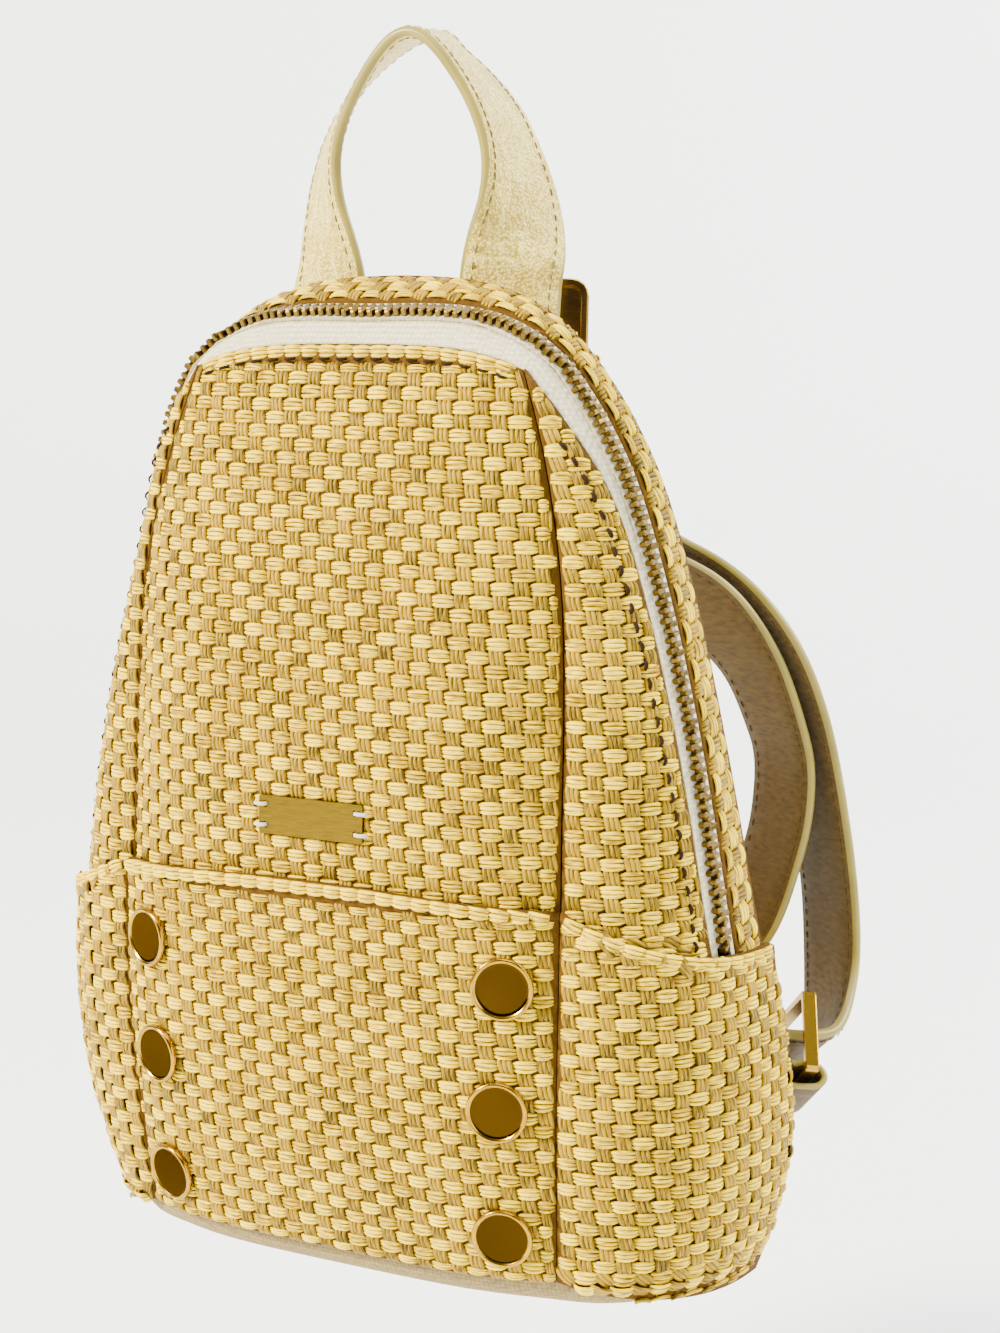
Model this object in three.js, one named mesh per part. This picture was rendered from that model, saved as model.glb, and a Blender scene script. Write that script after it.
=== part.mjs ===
// Woven straw backpack that hangs by its top handle. Millimetres, +Z up, the front faces -Y, +X to its right.
// Inside this file heights start at the underside of the bag and depths at the face of the name plate;
// the last lines move the origin to the hang point, the inner top of the handle.
import * as THREE from "three";

// Sizes
const BAG_HEIGHT = 281; // underside to the top of the rear rim
const BAG_WIDTH = 222; // across the rear seam at its widest
const BAG_DEPTH = 74; // name plate to the rear seam at its deepest
const STRAW = 2; // thickness of the woven panels
const CANVAS = 1.6; // thickness of the base
const GAP = 0.3; // between sewn neighbours
const BAND_STEP = 2.7; // how far the lower band stands out of the upper panels
const BAND_TUCK = 8; // how far the upper panels reach down behind the band
const BACK_BULGE = 4; // how far the back rounds out between its edges
const HEM = { height: 3.2, lift: 0.9 }; // folded roll along the top of the band
const CHAIN = { width: 5.4, thick: 2.2, out: 0.9 };
const TAPE = { side: 3.2, rear: 2, thick: 1 };
const SLIDER = { long: 12, flange: 7.8, sole: 1.3, proud: 3.1, above: 0.6 };
const PULL = { long: 20, wide: 6, thick: 1.2, bar: 1.5 };
const HANDLE = { rise: 67.5, spread: 23.8, width: 29, thick: 3 }; // loop above the rim, half its opening
const STRAP = { width: 26, thick: 3 };
const RING = { long: 33.6, short: 24, bar: 2, deep: 4 };
const TAB = { width: 22, thick: 1.8, wrap: 4, over: 1.2, under: 4.6 }; // its two ends lie this far off the seam
const RIVET = { d: 17, height: 1.9, rim: 1.1, recess: 0.5, edge: 0.4 };
const PLATE = { width: 33.2, height: 10.8, thick: 1.4, hole: 1.8, holeX: 14.4, holeZ: 2.9 };
const THREAD = { d: 1.1, reach: 2.6 };
const FOOT_PLATE = { width: 24, height: 30, thick: 2.4, corner: 5, rim: 2.2, recess: 0.6 };

// Heights on the bag as shares of BAG_HEIGHT
const HEIGHTS = { bottomFront: 0.036, bottomRear: 0.012, bandMid: 0.416, bandSeam: 0.404, bandRear: 0.347,
  corner: 0.911, panelTop: 0.932, plate: 0.477 };
for (const name in HEIGHTS) HEIGHTS[name] *= BAG_HEIGHT;
const FRONT_ROUND = 4.4; // how squarely the front turns towards its side seams
const UP_ROWS = 12, LOW_ROWS = 6, ACROSS = 14; // facets

// Body sections: height as a share of BAG_HEIGHT, halves as shares of half BAG_WIDTH, depths as shares of
// BAG_DEPTH, squareness of the side curve, place of the zip across it, and how far the soft left side is
// dented in at its two seams, as shares of half BAG_WIDTH.
const SECTION = ["height", "front", "seamHalf", "seam", "rearHalf", "rear", "square", "zip",
  "seamDent", "rearDent"];
const SECTIONS = [
  [0.012, 0.149, 0.604, 0.243, 0.935, 0.878, 2.1, 0.6, 0.05, 0.135],
  [0.035, 0.124, 0.613, 0.222, 0.96, 0.895, 2.1, 0.6, 0.045, 0.122],
  [0.103, 0.081, 0.622, 0.196, 1, 0.93, 2.2, 0.6, 0.031, 0.086],
  [0.163, 0.054, 0.622, 0.182, 1.012, 0.945, 2.3, 0.6, 0.02, 0.056],
  [0.264, 0.032, 0.626, 0.176, 0.991, 0.926, 2.3, 0.6, 0.007, 0.009],
  [0.37, 0.024, 0.626, 0.189, 0.946, 0.878, 2.3, 0.588, 0, 0],
  [0.477, 0.024, 0.622, 0.207, 0.907, 0.831, 2.3, 0.578, 0, 0.014],
  [0.598, 0.054, 0.617, 0.236, 0.853, 0.791, 2.3, 0.549, 0, 0.045],
  [0.715, 0.128, 0.599, 0.264, 0.786, 0.764, 2.2, 0.5, 0, 0.077],
  [0.833, 0.23, 0.536, 0.311, 0.697, 0.709, 1.9, 0.44, 0, 0.032],
  [0.911, 0.324, 0.468, 0.345, 0.577, 0.682, 1.5, 0.38, 0, 0],
];
const TOP = { square: 1.2, zip: 0.31, front: 0.351, rear: 0.676, panelDrop: 3.5 }; // middle of the dome

// Helpers
const V = (x, y, z) => new THREE.Vector3(x, y, z);
const mix = (a, b, t) => a + (b - a) * t;
const lerp = (p, q, t) => p.clone().lerp(q, t);
const range = (n) => Array.from({ length: n + 1 }, (_, i) => i / n);

// One column of a table at a height, by a smooth curve through its rows.
function smooth(rows, at, column) {
  let i = rows.findIndex((row) => row[0] > at) - 1;
  if (i < -1) i = rows.length - 2;
  i = Math.min(Math.max(i, 0), rows.length - 2);
  const pick = (k) => rows[Math.min(Math.max(k, 0), rows.length - 1)];
  const [r0, r1, r2, r3] = [pick(i - 1), pick(i), pick(i + 1), pick(i + 2)];
  const span = r2[0] - r1[0], t = Math.min(Math.max((at - r1[0]) / span, 0), 1);
  const slope = (p, q) => (q[0] === p[0] ? 0 : ((q[column] - p[column]) / (q[0] - p[0])) * span);
  const [m1, m2] = [slope(r0, r2), slope(r1, r3)], [a, b] = [r1[column], r2[column]];
  return a + t * m1 + t * t * (3 * (b - a) - 2 * m1 - m2) + t * t * t * (2 * (a - b) + m1 + m2);
}
const section = (z, name) => smooth(SECTIONS, z / BAG_HEIGHT, SECTION.indexOf(name));
// Points on the seams; side is 1 on the right and -1 on the left.
const onSeam = (z, side, half, dent, depth) => V(side * BAG_WIDTH / 2 *
  (section(z, half) - (side < 0 ? section(z, dent) : 0)), section(z, depth) * BAG_DEPTH, z);
const seamAt = (z, side = 1) => onSeam(z, side, "seamHalf", "seamDent", "seam");
const rearAt = (z, side = 1) => onSeam(z, side, "rearHalf", "rearDent", "rear");
const sideOf = (u) => (u < 0 ? -1 : 1);
const mirrored = (p) => V(-p.x, p.y, p.z);

// A station is one curve from the front seam to the rear seam, walked by length.
function station(front, rear, square, zip) {
  const steps = range(24).map((w) => {
    const a = w * Math.PI / 2, out = Math.sin(a) ** (2 / square), back = 1 - Math.cos(a) ** (2 / square);
    return V(mix(front.x, rear.x, out), mix(front.y, rear.y, back), mix(front.z, rear.z, out));
  });
  const run = [0];
  steps.forEach((p, i) => i && run.push(run[i - 1] + p.distanceTo(steps[i - 1])));
  const at = (s) => {
    const k = Math.min(Math.max(run.findIndex((r) => r >= s), 1), run.length - 1);
    return lerp(steps[k - 1], steps[k], Math.min(Math.max((s - run[k - 1]) / (run[k] - run[k - 1]), 0), 1));
  };
  const zipY = mix(front.y, rear.y, zip), k = steps.findIndex((p) => p.y >= zipY);
  const zipRun = mix(run[k - 1], run[k], (zipY - steps[k - 1].y) / (steps[k].y - steps[k - 1].y));
  return { at, length: run[run.length - 1], zipRun };
}
const sideStation = (zFront, zRear, side) => {
  const z = (zFront + zRear) / 2;
  return station(seamAt(zFront, side), rearAt(zRear, side), section(z, "square"), section(z, "zip"));
};

// Front of the bag: u from -1 at the left seam to 1 at the right seam.
function frontAt(u, z, seamZ) {
  const seam = seamAt(seamZ, sideOf(u)), y = section(seamZ, "front") * BAG_DEPTH;
  return V(Math.abs(u) * seam.x, mix(y, seam.y, Math.abs(u) ** FRONT_ROUND), z);
}
const bandFrontZ = (u) => mix(HEIGHTS.bandMid, HEIGHTS.bandSeam, u * u);
const topFront = (k) => {
  const p = frontAt(k, mix(HEIGHTS.panelTop, HEIGHTS.corner, Math.abs(k) ** TOP.panelDrop), HEIGHTS.corner);
  return V(p.x, mix(TOP.front * BAG_DEPTH, p.y, k * k), p.z);
};
const topRear = (k) => {
  const end = rearAt(HEIGHTS.corner, sideOf(k)), fall = 0.3 * k * k + 0.7 * k ** 4;
  return V(end.x * Math.abs(k), mix(TOP.rear * BAG_DEPTH, end.y, k * k), mix(BAG_HEIGHT, end.z, fall));
};
const topStation = (k) => {
  const t = Math.abs(k), square = mix(TOP.square, section(HEIGHTS.corner, "square"), t * t);
  return station(topFront(k), topRear(k), square, mix(TOP.zip, section(HEIGHTS.corner, "zip"), t));
};

// Stations of the upper body, from the right end of the zip over the top to its left end.
const upRows = range(UP_ROWS), lowRows = range(LOW_ROWS);
const upStation = (v, side) => sideStation(mix(HEIGHTS.bandSeam - BAND_TUCK, HEIGHTS.corner, v),
  mix(HEIGHTS.bandRear - BAND_TUCK, HEIGHTS.corner, v), side);
const [rightUp, leftUp] = [1, -1].map((side) => upRows.map((v) => upStation(v, side)));
const overTop = range(ACROSS).slice(1, -1).map((t) => topStation(1 - 2 * t));
const arch = [...rightUp, ...overTop, ...[...leftUp].reverse()];
// Width of the side gusset at each row of the upper body: it runs out at the top corner.
const gussetShare = (row) => [0.12, 0.62, 0.92][UP_ROWS - row] ?? 1;
const gussetEnd = (s, i) => {
  const row = i <= UP_ROWS ? i : arch.length - 1 - i;
  return row > UP_ROWS ? 0 : (s.zipRun - CHAIN.width / 2 - TAPE.side) * gussetShare(row);
};
const strip = (stations, from, to, columns) => stations.map((s, i) =>
  range(columns).map((c) => s.at(mix(from(s, i), to(s, i), c))));

// Panels: each grid is a skin patch; welded patches share their edge normals, so that seams stay closed.
function panelSolids(patches) {
  const weld = new Map(), key = (p) => [p.x, p.y, p.z].map((n) => Math.round(n * 50)).join();
  patches.forEach(({ grid }) => grid.forEach((row, i) => row.forEach((p, j) => {
    const up = grid[Math.min(i + 1, grid.length - 1)][j].clone().sub(grid[Math.max(i - 1, 0)][j]);
    const right = row[Math.min(j + 1, row.length - 1)].clone().sub(row[Math.max(j - 1, 0)]);
    const n = right.cross(up).normalize(), k = key(p);
    weld.set(k, [...(weld.get(k) ?? []), n]);
  })));
  for (const [k, all] of weld) {
    const n = all.reduce((s, m) => s.add(m), V(0, 0, 0)).normalize();
    weld.set(k, { n, square: Math.max(Math.min(...all.map((m) => m.dot(n))), 0.7) });
  }
  return patches.map(({ name, grid, out = 0, thick = STRAW, lift = () => 0, gap = GAP, material }) => {
    const rows = grid.length, columns = grid[0].length, outer = [], inner = [];
    const step = (p, q) => q.clone().sub(p).normalize().multiplyScalar(gap / 2);
    grid.forEach((row, i) => row.forEach((p, j) => {
      const { n, square } = weld.get(key(p));
      const at = p.clone();
      if (i === 0) at.add(step(p, grid[1][j]));
      if (i === rows - 1) at.add(step(p, grid[i - 1][j]));
      if (j === 0) at.add(step(p, row[1]));
      if (j === columns - 1) at.add(step(p, row[j - 1]));
      outer.push(at.clone().addScaledVector(n, (out + lift(i, rows)) / square));
      inner.push(at.clone().addScaledVector(n, (out - thick) / square));
    }));
    return mesh(name, shell(outer, inner, rows, columns), material);
  });
}
// Closed skin between an outer and an inner grid of points.
function shell(outer, inner, rows, columns) {
  const points = [...outer, ...inner], o = (i, j) => i * columns + j, n = (i, j) => o(i, j) + outer.length;
  const faces = [], quad = (a, b, c, d) => faces.push(a, b, c, a, c, d);
  for (let i = 0; i < rows - 1; i++) {
    for (let j = 0; j < columns - 1; j++) {
      quad(o(i, j), o(i, j + 1), o(i + 1, j + 1), o(i + 1, j));
      quad(n(i, j), n(i + 1, j), n(i + 1, j + 1), n(i, j + 1));
    }
    quad(o(i, 0), o(i + 1, 0), n(i + 1, 0), n(i, 0));
    quad(o(i + 1, columns - 1), o(i, columns - 1), n(i, columns - 1), n(i + 1, columns - 1));
  }
  for (let j = 0; j < columns - 1; j++) {
    quad(o(0, j + 1), o(0, j), n(0, j), n(0, j + 1));
    quad(o(rows - 1, j), o(rows - 1, j + 1), n(rows - 1, j + 1), n(rows - 1, j));
  }
  return { points, faces };
}
// Skin through closed loops of equal count: capped at both ends, or joined round into a ring.
function loft(loops, ring = false) {
  const count = loops[0].length, points = loops.flat(), faces = [];
  const last = ring ? loops.length : loops.length - 1;
  for (let k = 0; k < last; k++) for (let i = 0; i < count; i++) {
    const j = (i + 1) % count, a = k * count, b = ((k + 1) % loops.length) * count;
    faces.push(a + i, a + j, b + j, a + i, b + j, b + i);
  }
  if (!ring) for (const [loop, base, order] of [[loops[0], 0, 1], [loops.at(-1), last * count, -1]]) {
    const centre = loop.reduce((s, p) => s.add(p), V(0, 0, 0)).divideScalar(count);
    const c = points.push(centre) - 1;
    for (let i = 0; i < count; i++) {
      const j = (i + 1) % count;
      faces.push(...(order > 0 ? [c, base + j, base + i] : [c, base + i, base + j]));
    }
  }
  return { points, faces };
}
function mesh(name, { points, faces }, material) {
  const g = new THREE.BufferGeometry(), flat = points.flatMap((p) => [p.x, p.y, p.z]);
  g.setAttribute("position", new THREE.Float32BufferAttribute(flat, 3));
  let volume = 0;
  for (let i = 0; i < faces.length; i += 3) {
    const [a, b, c] = [0, 1, 2].map((k) => points[faces[i + k]]);
    volume += a.dot(b.clone().cross(c));
  }
  g.setIndex(volume < 0 ? faces.map((f, i) => faces[i + [0, 1, -1][i % 3]]) : faces);
  const made = new THREE.Mesh(g, new THREE.MeshStandardMaterial(material));
  made.name = name;
  return made;
}

const straw = { color: 0xe3c27a, roughness: 0.75, metalness: 0 };
const canvas = { color: 0xcfc6b4, roughness: 0.9, metalness: 0 };
const tapeCloth = { color: 0xeae4da, roughness: 0.85, metalness: 0 };
const teeth = { color: 0x8a7442, roughness: 0.4, metalness: 1 };
const brass = { color: 0xc9a04a, roughness: 0.25, metalness: 1 };
const leather = { color: 0xd8cdb0, roughness: 0.6, metalness: 0 };
const cotton = { color: 0xd9d3c2, roughness: 0.9, metalness: 0 };
const meshes = [];

// Upper body
const frontUpper = upRows.map((v) => range(ACROSS).map((t) => {
  const u = 2 * t - 1, seamZ = mix(HEIGHTS.bandSeam - BAND_TUCK, HEIGHTS.corner, v);
  const p = frontAt(u, mix(bandFrontZ(u) - BAND_TUCK, topFront(u).z, v), seamZ);
  return v === 1 ? topFront(u) : p;
}));
const backRow = (z, zOf, bulge) => range(ACROSS).map((t) => {
  const u = 1 - 2 * t, edge = rearAt(z, sideOf(u));
  return V(Math.abs(u) * edge.x, edge.y + bulge * (1 - u * u), zOf(u));
});
const backLow = HEIGHTS.bandRear - BAND_TUCK;
const back = [
  ...lowRows.slice(0, -1).map((v) => {
    const z = mix(HEIGHTS.bottomRear + GAP, backLow, v);
    return backRow(z, () => z, BACK_BULGE * Math.sin(v * Math.PI / 2));
  }),
  ...upRows.map((v) => {
    const z = mix(backLow, HEIGHTS.corner, v), top = (u) => mix(backLow, topRear(u).z, v);
    return v === 1 ? range(ACROSS).map((t) => topRear(1 - 2 * t)) : backRow(z, top, BACK_BULGE * (1 - v * v));
  }),
];
const half = CHAIN.width / 2;
const atZip = (offset) => (s) => s.zipRun + offset;
const bandTop = 0.06; // share of the side height where the zip comes out of the band
const chainRun = [upStation(bandTop, 1), ...arch.slice(1, -2)]; // the slider ends it
// Grids of side panels run from left to right as seen from outside.
const turned = (grid, side) => (side < 0 ? grid.map((row) => [...row].reverse()) : grid);
const gusset = (stations, side) => turned(stations.map((s, i) =>
  range(6).map((c) => s.at(gussetEnd(s, i) * c))), side);
meshes.push(...panelSolids([
  { name: "front_upper_panel", grid: frontUpper, gap: 2 * GAP, material: straw },
  { name: "side_upper_right", grid: gusset(rightUp, 1), material: straw },
  { name: "side_upper_left", grid: gusset(leftUp, -1), material: straw },
  { name: "zip_tape_front", grid: strip(arch, gussetEnd, atZip(-half), 2), thick: TAPE.thick, gap: 2 * GAP,
    material: tapeCloth },
  { name: "zip_chain", grid: strip(chainRun, atZip(-half), atZip(half), 2), thick: CHAIN.thick,
    out: CHAIN.out, material: teeth },
  { name: "zip_tape_rear", grid: strip(arch, atZip(half), atZip(half + TAPE.rear), 1), thick: TAPE.thick,
    material: tapeCloth },
  { name: "rear_rim", grid: strip(arch, atZip(half + TAPE.rear), (s) => s.length, 4), material: straw },
  { name: "back_panel", grid: back, gap: 2 * GAP, material: straw },
]));

// Lower band, with a folded roll along its top edge
const bandRows = (low, high) => {
  const rolls = [1.9, 1, 0.35, 0].map((k) => 1 - k * HEM.height / (high - low));
  return [...range(LOW_ROWS).slice(0, -1).map((v) => v * rolls[0]), ...rolls];
};
const rollLift = (i, rows) => [-0.5 * HEM.lift, HEM.lift, HEM.lift, 0][rows - 1 - i] ?? 0;
const bands = bandRows(HEIGHTS.bottomFront, HEIGHTS.bandSeam);
const frontLower = bands.map((v) => range(ACROSS).map((t) => {
  const u = 2 * t - 1, seamZ = mix(HEIGHTS.bottomFront, HEIGHTS.bandSeam, v);
  return frontAt(u, mix(HEIGHTS.bottomFront, bandFrontZ(u), v), seamZ);
}));
const sideLower = (side) => turned(bands.map((v) => {
  const s = sideStation(mix(HEIGHTS.bottomFront, HEIGHTS.bandSeam, v),
    mix(HEIGHTS.bottomRear, HEIGHTS.bandRear, v), side);
  return range(8).map((c) => s.at(s.length * c));
}), side);
const banded = { out: BAND_STEP, lift: rollLift, material: straw };
meshes.push(...panelSolids([
  { name: "front_lower_panel", grid: frontLower, ...banded },
  { name: "side_lower_right", grid: sideLower(1), ...banded },
  { name: "side_lower_left", grid: sideLower(-1), ...banded },
]));

// Base: a shallow dish of canvas whose wall tucks up inside the straw
const baseHalf = (side) => {
  const z = HEIGHTS.bottomFront, inset = STRAW + 2 * GAP, rear = rearAt(HEIGHTS.bottomRear, side);
  const end = V(rear.x - side * inset, rear.y - inset, z);
  const curve = station(seamAt(z, side), end, section(z, "square"), 0.5);
  return [...range(4).slice(0, -1).map((u) => frontAt(side * u, z, z)),
    ...range(7).slice(0, -1).map((c) => curve.at(curve.length * c)),
    V(end.x - side * 1.5, end.y - 1.5, z), ...range(5).map((c) => V(mix(end.x - side * 6, 0, c), end.y, z))];
};
const baseLoop = [...baseHalf(1), ...baseHalf(-1).slice(1, -1).reverse()];
// Rows of the dish: inset from the wall, and height above the front edge as a share of that edge's height
const BASE_ROWS = [[0, 0.5], [0, -0.22], [1.3, -0.5], [5, -0.8], [12, -0.97], [30, -1]];
const baseRings = (shrink) => BASE_ROWS.map(([inset, drop]) => baseLoop.map((p) => {
  const mid = BAG_DEPTH / 2, d = inset + shrink, low = (1 + drop) / 1.5;
  const kx = 1 - d / (BAG_WIDTH / 2), ky = 1 - Math.min(d, 0.9 * mid) / mid;
  const tilt = (HEIGHTS.bottomRear - HEIGHTS.bottomFront) / BAG_DEPTH * (p.y - mid / 2) * low;
  return V(p.x * kx, mid + (p.y - mid) * ky, HEIGHTS.bottomFront * (1 + drop) + tilt + shrink * (1 - low));
}));
meshes.push(mesh("base_panel", loft([...baseRings(CANVAS).reverse(), ...baseRings(0)]), canvas));

// Frame on a surface: origin, right, up and out, for fittings set on the panels
const frameOn = (at, out, up) => {
  const n = out.clone().normalize(), right = up.clone().cross(n).normalize();
  return { at, n, right, up: n.clone().cross(right) };
};
const inFrame = (f, x, y, z) => f.at.clone().addScaledVector(f.right, x).addScaledVector(f.up, y)
  .addScaledVector(f.n, z);
const frontNormal = (u, z) => {
  const e = 0.02, across = frontAt(u + e, z, z).sub(frontAt(u - e, z, z));
  const up = frontAt(u, z + 1, z + 1).sub(frontAt(u, z - 1, z - 1));
  return across.cross(up).normalize();
};

// Rivets: height as a share of BAG_HEIGHT, distance from the middle as a share of half BAG_WIDTH
const RIVETS = [[0.332, 0.508], [0.211, 0.495], [0.083, 0.497]];
RIVETS.forEach(([up, out], row) => [-1, 1].forEach((side) => {
  const z = up * BAG_HEIGHT, u = side * out * BAG_WIDTH / 2 / seamAt(z).x, n = frontNormal(u, z);
  const f = frameOn(frontAt(u, z, z).addScaledVector(n, BAND_STEP + 1.5 * GAP), n, V(0, 0, 1));
  const r = RIVET.d / 2, e = RIVET.edge, flat = RIVET.height - RIVET.recess;
  const profile = [[r - e, 0], [r, e], [r, RIVET.height - e], [r - e, RIVET.height],
    [r - RIVET.rim, RIVET.height], [r - RIVET.rim - e / 2, flat]];
  const loops = profile.map(([d, h]) => range(16).slice(0, -1).map((t) =>
    inFrame(f, d * Math.cos(2 * Math.PI * t), d * Math.sin(2 * Math.PI * t), h)));
  meshes.push(mesh(`rivet_${row + 1}_${side < 0 ? "left" : "right"}`, loft(loops), brass));
}));

// Name plate, bare, with four thread holes
const plateFrame = frameOn(frontAt(0, HEIGHTS.plate, HEIGHTS.plate).add(V(0, -GAP - 0.1, 0)),
  frontNormal(0.01, HEIGHTS.plate), V(0, 0, 1));
const outline = (w, h, r, sides = 4) => [[1, 1], [-1, 1], [-1, -1], [1, -1]].flatMap(([sx, sy], q) =>
  range(sides).map((t) => {
    const a = (q + t) * Math.PI / 2;
    return [sx * (w / 2 - r) + r * Math.cos(a), sy * (h / 2 - r) + r * Math.sin(a)];
  }));
const HOLES = [[-1, 1], [-1, -1], [1, 1], [1, -1]].map(([sx, sy]) => [sx * PLATE.holeX, sy * PLATE.holeZ]);
const flatPoint = ([x, y]) => new THREE.Vector2(x, y);
const plateShape = new THREE.Shape(outline(PLATE.width, PLATE.height, 0.6, 2).map(flatPoint));
const hole = ([x, y]) => new THREE.Path().absarc(x, y, PLATE.hole / 2, 0, 2 * Math.PI, true);
plateShape.holes.push(...HOLES.map(hole));
const plate = new THREE.Mesh(
  new THREE.ExtrudeGeometry(plateShape, { depth: PLATE.thick, bevelEnabled: false, curveSegments: 4 }),
  new THREE.MeshStandardMaterial(brass));
plate.name = "name_plate";
plate.matrixAutoUpdate = false;
plate.matrix.makeBasis(plateFrame.right, plateFrame.up, plateFrame.n).setPosition(plateFrame.at);
meshes.push(plate);

// Round cord along a list of points
function cord(path, d, sides = 6) {
  return loft(path.map((p, i) => {
    const along = path[Math.min(i + 1, path.length - 1)].clone().sub(path[Math.max(i - 1, 0)]).normalize();
    const a = plateFrame.up.clone().projectOnPlane(along).normalize(), b = along.clone().cross(a);
    return range(sides).slice(0, -1).map((t) => 2 * Math.PI * t).map((turn) => p.clone()
      .addScaledVector(a, d / 2 * Math.cos(turn)).addScaledVector(b, d / 2 * Math.sin(turn)));
  }));
}
HOLES.forEach(([x, y], i) => {
  const side = Math.sign(x), end = PLATE.width / 2 - Math.abs(x), r = THREAD.d / 2;
  const rise = PLATE.thick + GAP + r, steps = [[0, GAP + 0.2], [0, rise - 0.5], [0.4, rise], [end, rise],
    [end + 1.1, rise - 0.5], [end + THREAD.reach / 2, GAP + 0.7]];
  const path = steps.map(([out, h]) => inFrame(plateFrame, x + side * out, y, h));
  meshes.push(mesh(`plate_stitch_${i + 1}`, cord(path, THREAD.d), cotton));
});

// Ribbon of leather: rows hold a point on the near edge of the band and the direction across it
function ribbon(rows, width, thick, steps) {
  const curve = (points) => new THREE.CatmullRomCurve3(points, false, "centripetal");
  const near = curve(rows.map(([p]) => p));
  const far = curve(rows.map(([p, across]) => p.clone().addScaledVector(across.clone().normalize(), width)));
  const r = thick * 0.3, h = thick / 2;
  const profile = [[0, h - r], [r, h], [width - r, h], [width, h - r],
    [width, r - h], [width - r, -h], [r, -h], [0, r - h]];
  return loft(range(steps).map((t) => {
    const a = near.getPoint(t), across = far.getPoint(t).sub(a).normalize();
    const n = across.clone().cross(near.getTangent(t).add(far.getTangent(t))).normalize();
    return profile.map(([x, out]) => a.clone().addScaledVector(across, x).addScaledVector(n, out));
  }));
}

// Top handle, rows from foot to crest: height above the rim as a share of the rise, half opening as a share
// of the spread, depth of the near edge as a share of BAG_DEPTH, turn of the band in degrees right and left
const HANDLE_ROWS = [
  [-0.696, 0.63, 0.79, 0, 0],
  [-0.519, 0.63, 0.77, 3, 2],
  [-0.341, 0.63, 0.763, 12, 6],
  [-0.163, 0.63, 0.765, 23, 11],
  [0.0, 0.655, 0.765, 27, 14],
  [0.104, 0.723, 0.757, 28, 19],
  [0.193, 0.807, 0.751, 38, 24],
  [0.296, 0.924, 0.751, 58, 33],
  [0.4, 0.996, 0.751, 75, 43],
  [0.519, 1.0, 0.75, 85, 51],
  [0.637, 0.903, 0.746, 88, 56],
  [0.741, 0.761, 0.743, 91, 60],
  [0.844, 0.571, 0.739, 95, 66],
  [0.933, 0.366, 0.736, 99, 72],
  [0.984, 0.176, 0.735, 103, 76],
  [1.0, 0.0, 0.735, 106, 74],
];
const handleLeg = (side) => HANDLE_ROWS.map(([up, out, depth, right, left]) => {
  const a = (side > 0 ? right : left) * Math.PI / 180;
  return [V(side * out * HANDLE.spread, depth * BAG_DEPTH, BAG_HEIGHT + up * HANDLE.rise),
    V(side * Math.cos(a), Math.sin(a), 0)];
});
const handleRows = [...handleLeg(-1).slice(0, -1), ...handleLeg(1).reverse()].map(([p, across], i, all) => {
  const before = all[Math.max(i - 1, 0)][0], after = all[Math.min(i + 1, all.length - 1)][0];
  return [p, across.projectOnPlane(after.clone().sub(before).normalize())];
});
meshes.push(mesh("top_handle", ribbon(handleRows, HANDLE.width, HANDLE.thick, 44), leather));

// Brass plate with a raised rim behind the right foot of the handle, turned with the foot
// Its place from the handle's foot: shares of the band's width, and of the rise
const FOOT_PLATE_AT = { out: 0.746, behind: 0.421, up: -0.23 };
const [, footOut, footDepth] = HANDLE_ROWS[3];
const footPlate = frameOn(V(footOut * HANDLE.spread + FOOT_PLATE_AT.out * HANDLE.width,
  footDepth * BAG_DEPTH + FOOT_PLATE_AT.behind * HANDLE.width, BAG_HEIGHT + FOOT_PLATE_AT.up * HANDLE.rise),
  V(0.36, -1, 0.2), V(0, 0, 1));
const platen = [[0.9, -FOOT_PLATE.thick], [0, -FOOT_PLATE.thick], [0, -0.4], [0.4, 0], [FOOT_PLATE.rim, 0],
  [FOOT_PLATE.rim + 0.4, -FOOT_PLATE.recess]].map(([inset, h]) =>
  outline(FOOT_PLATE.width - 2 * inset, FOOT_PLATE.height - 2 * inset, FOOT_PLATE.corner - inset)
    .map(([x, y]) => inFrame(footPlate, x, y, h)));
meshes.push(mesh("handle_foot_plate", loft(platen), brass));

// Shoulder straps: x as a share of half BAG_WIDTH, y of BAG_DEPTH, z of BAG_HEIGHT, direction across
const onBag = (x, y, z) => V(x * BAG_WIDTH / 2, y * BAG_DEPTH, z * BAG_HEIGHT);
const strapRows = (table) => table.map(([x, y, z, ...across]) => [onBag(x, y, z), V(...across)]);
const STRAP_RIGHT = [
  [0.072, 0.81, 0.861, 0, 0.03, -1],
  [0.252, 0.9, 0.833, 0, 0.05, -1],
  [0.423, 1.169, 0.786, -0.15, 0.1, -0.98],
  [0.568, 1.351, 0.737, -0.45, 0.25, -0.86],
  [0.685, 1.419, 0.71, -0.66, 0.36, -0.66],
  [0.802, 1.405, 0.678, -0.8, 0.42, -0.43],
  [0.901, 1.453, 0.623, -0.86, 0.45, -0.22],
  [0.968, 1.514, 0.546, -0.88, 0.46, -0.1],
  [1.018, 1.541, 0.445, -0.87, 0.49, 0],
  [1.05, 1.541, 0.359, -0.85, 0.53, 0],
  [1.068, 1.5, 0.299, -0.83, 0.54, -0.1],
  [1.077, 1.405, 0.267, -0.76, 0.57, -0.3],
  [1.081, 1.297, 0.247, -0.66, 0.58, -0.46],
  [1.072, 1.203, 0.24, -0.58, 0.58, -0.57],
  [1.024, 1.107, 0.241, -0.55, 0.58, -0.6],
  [0.975, 1.05, 0.244, -0.55, 0.58, -0.6],
];
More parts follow.
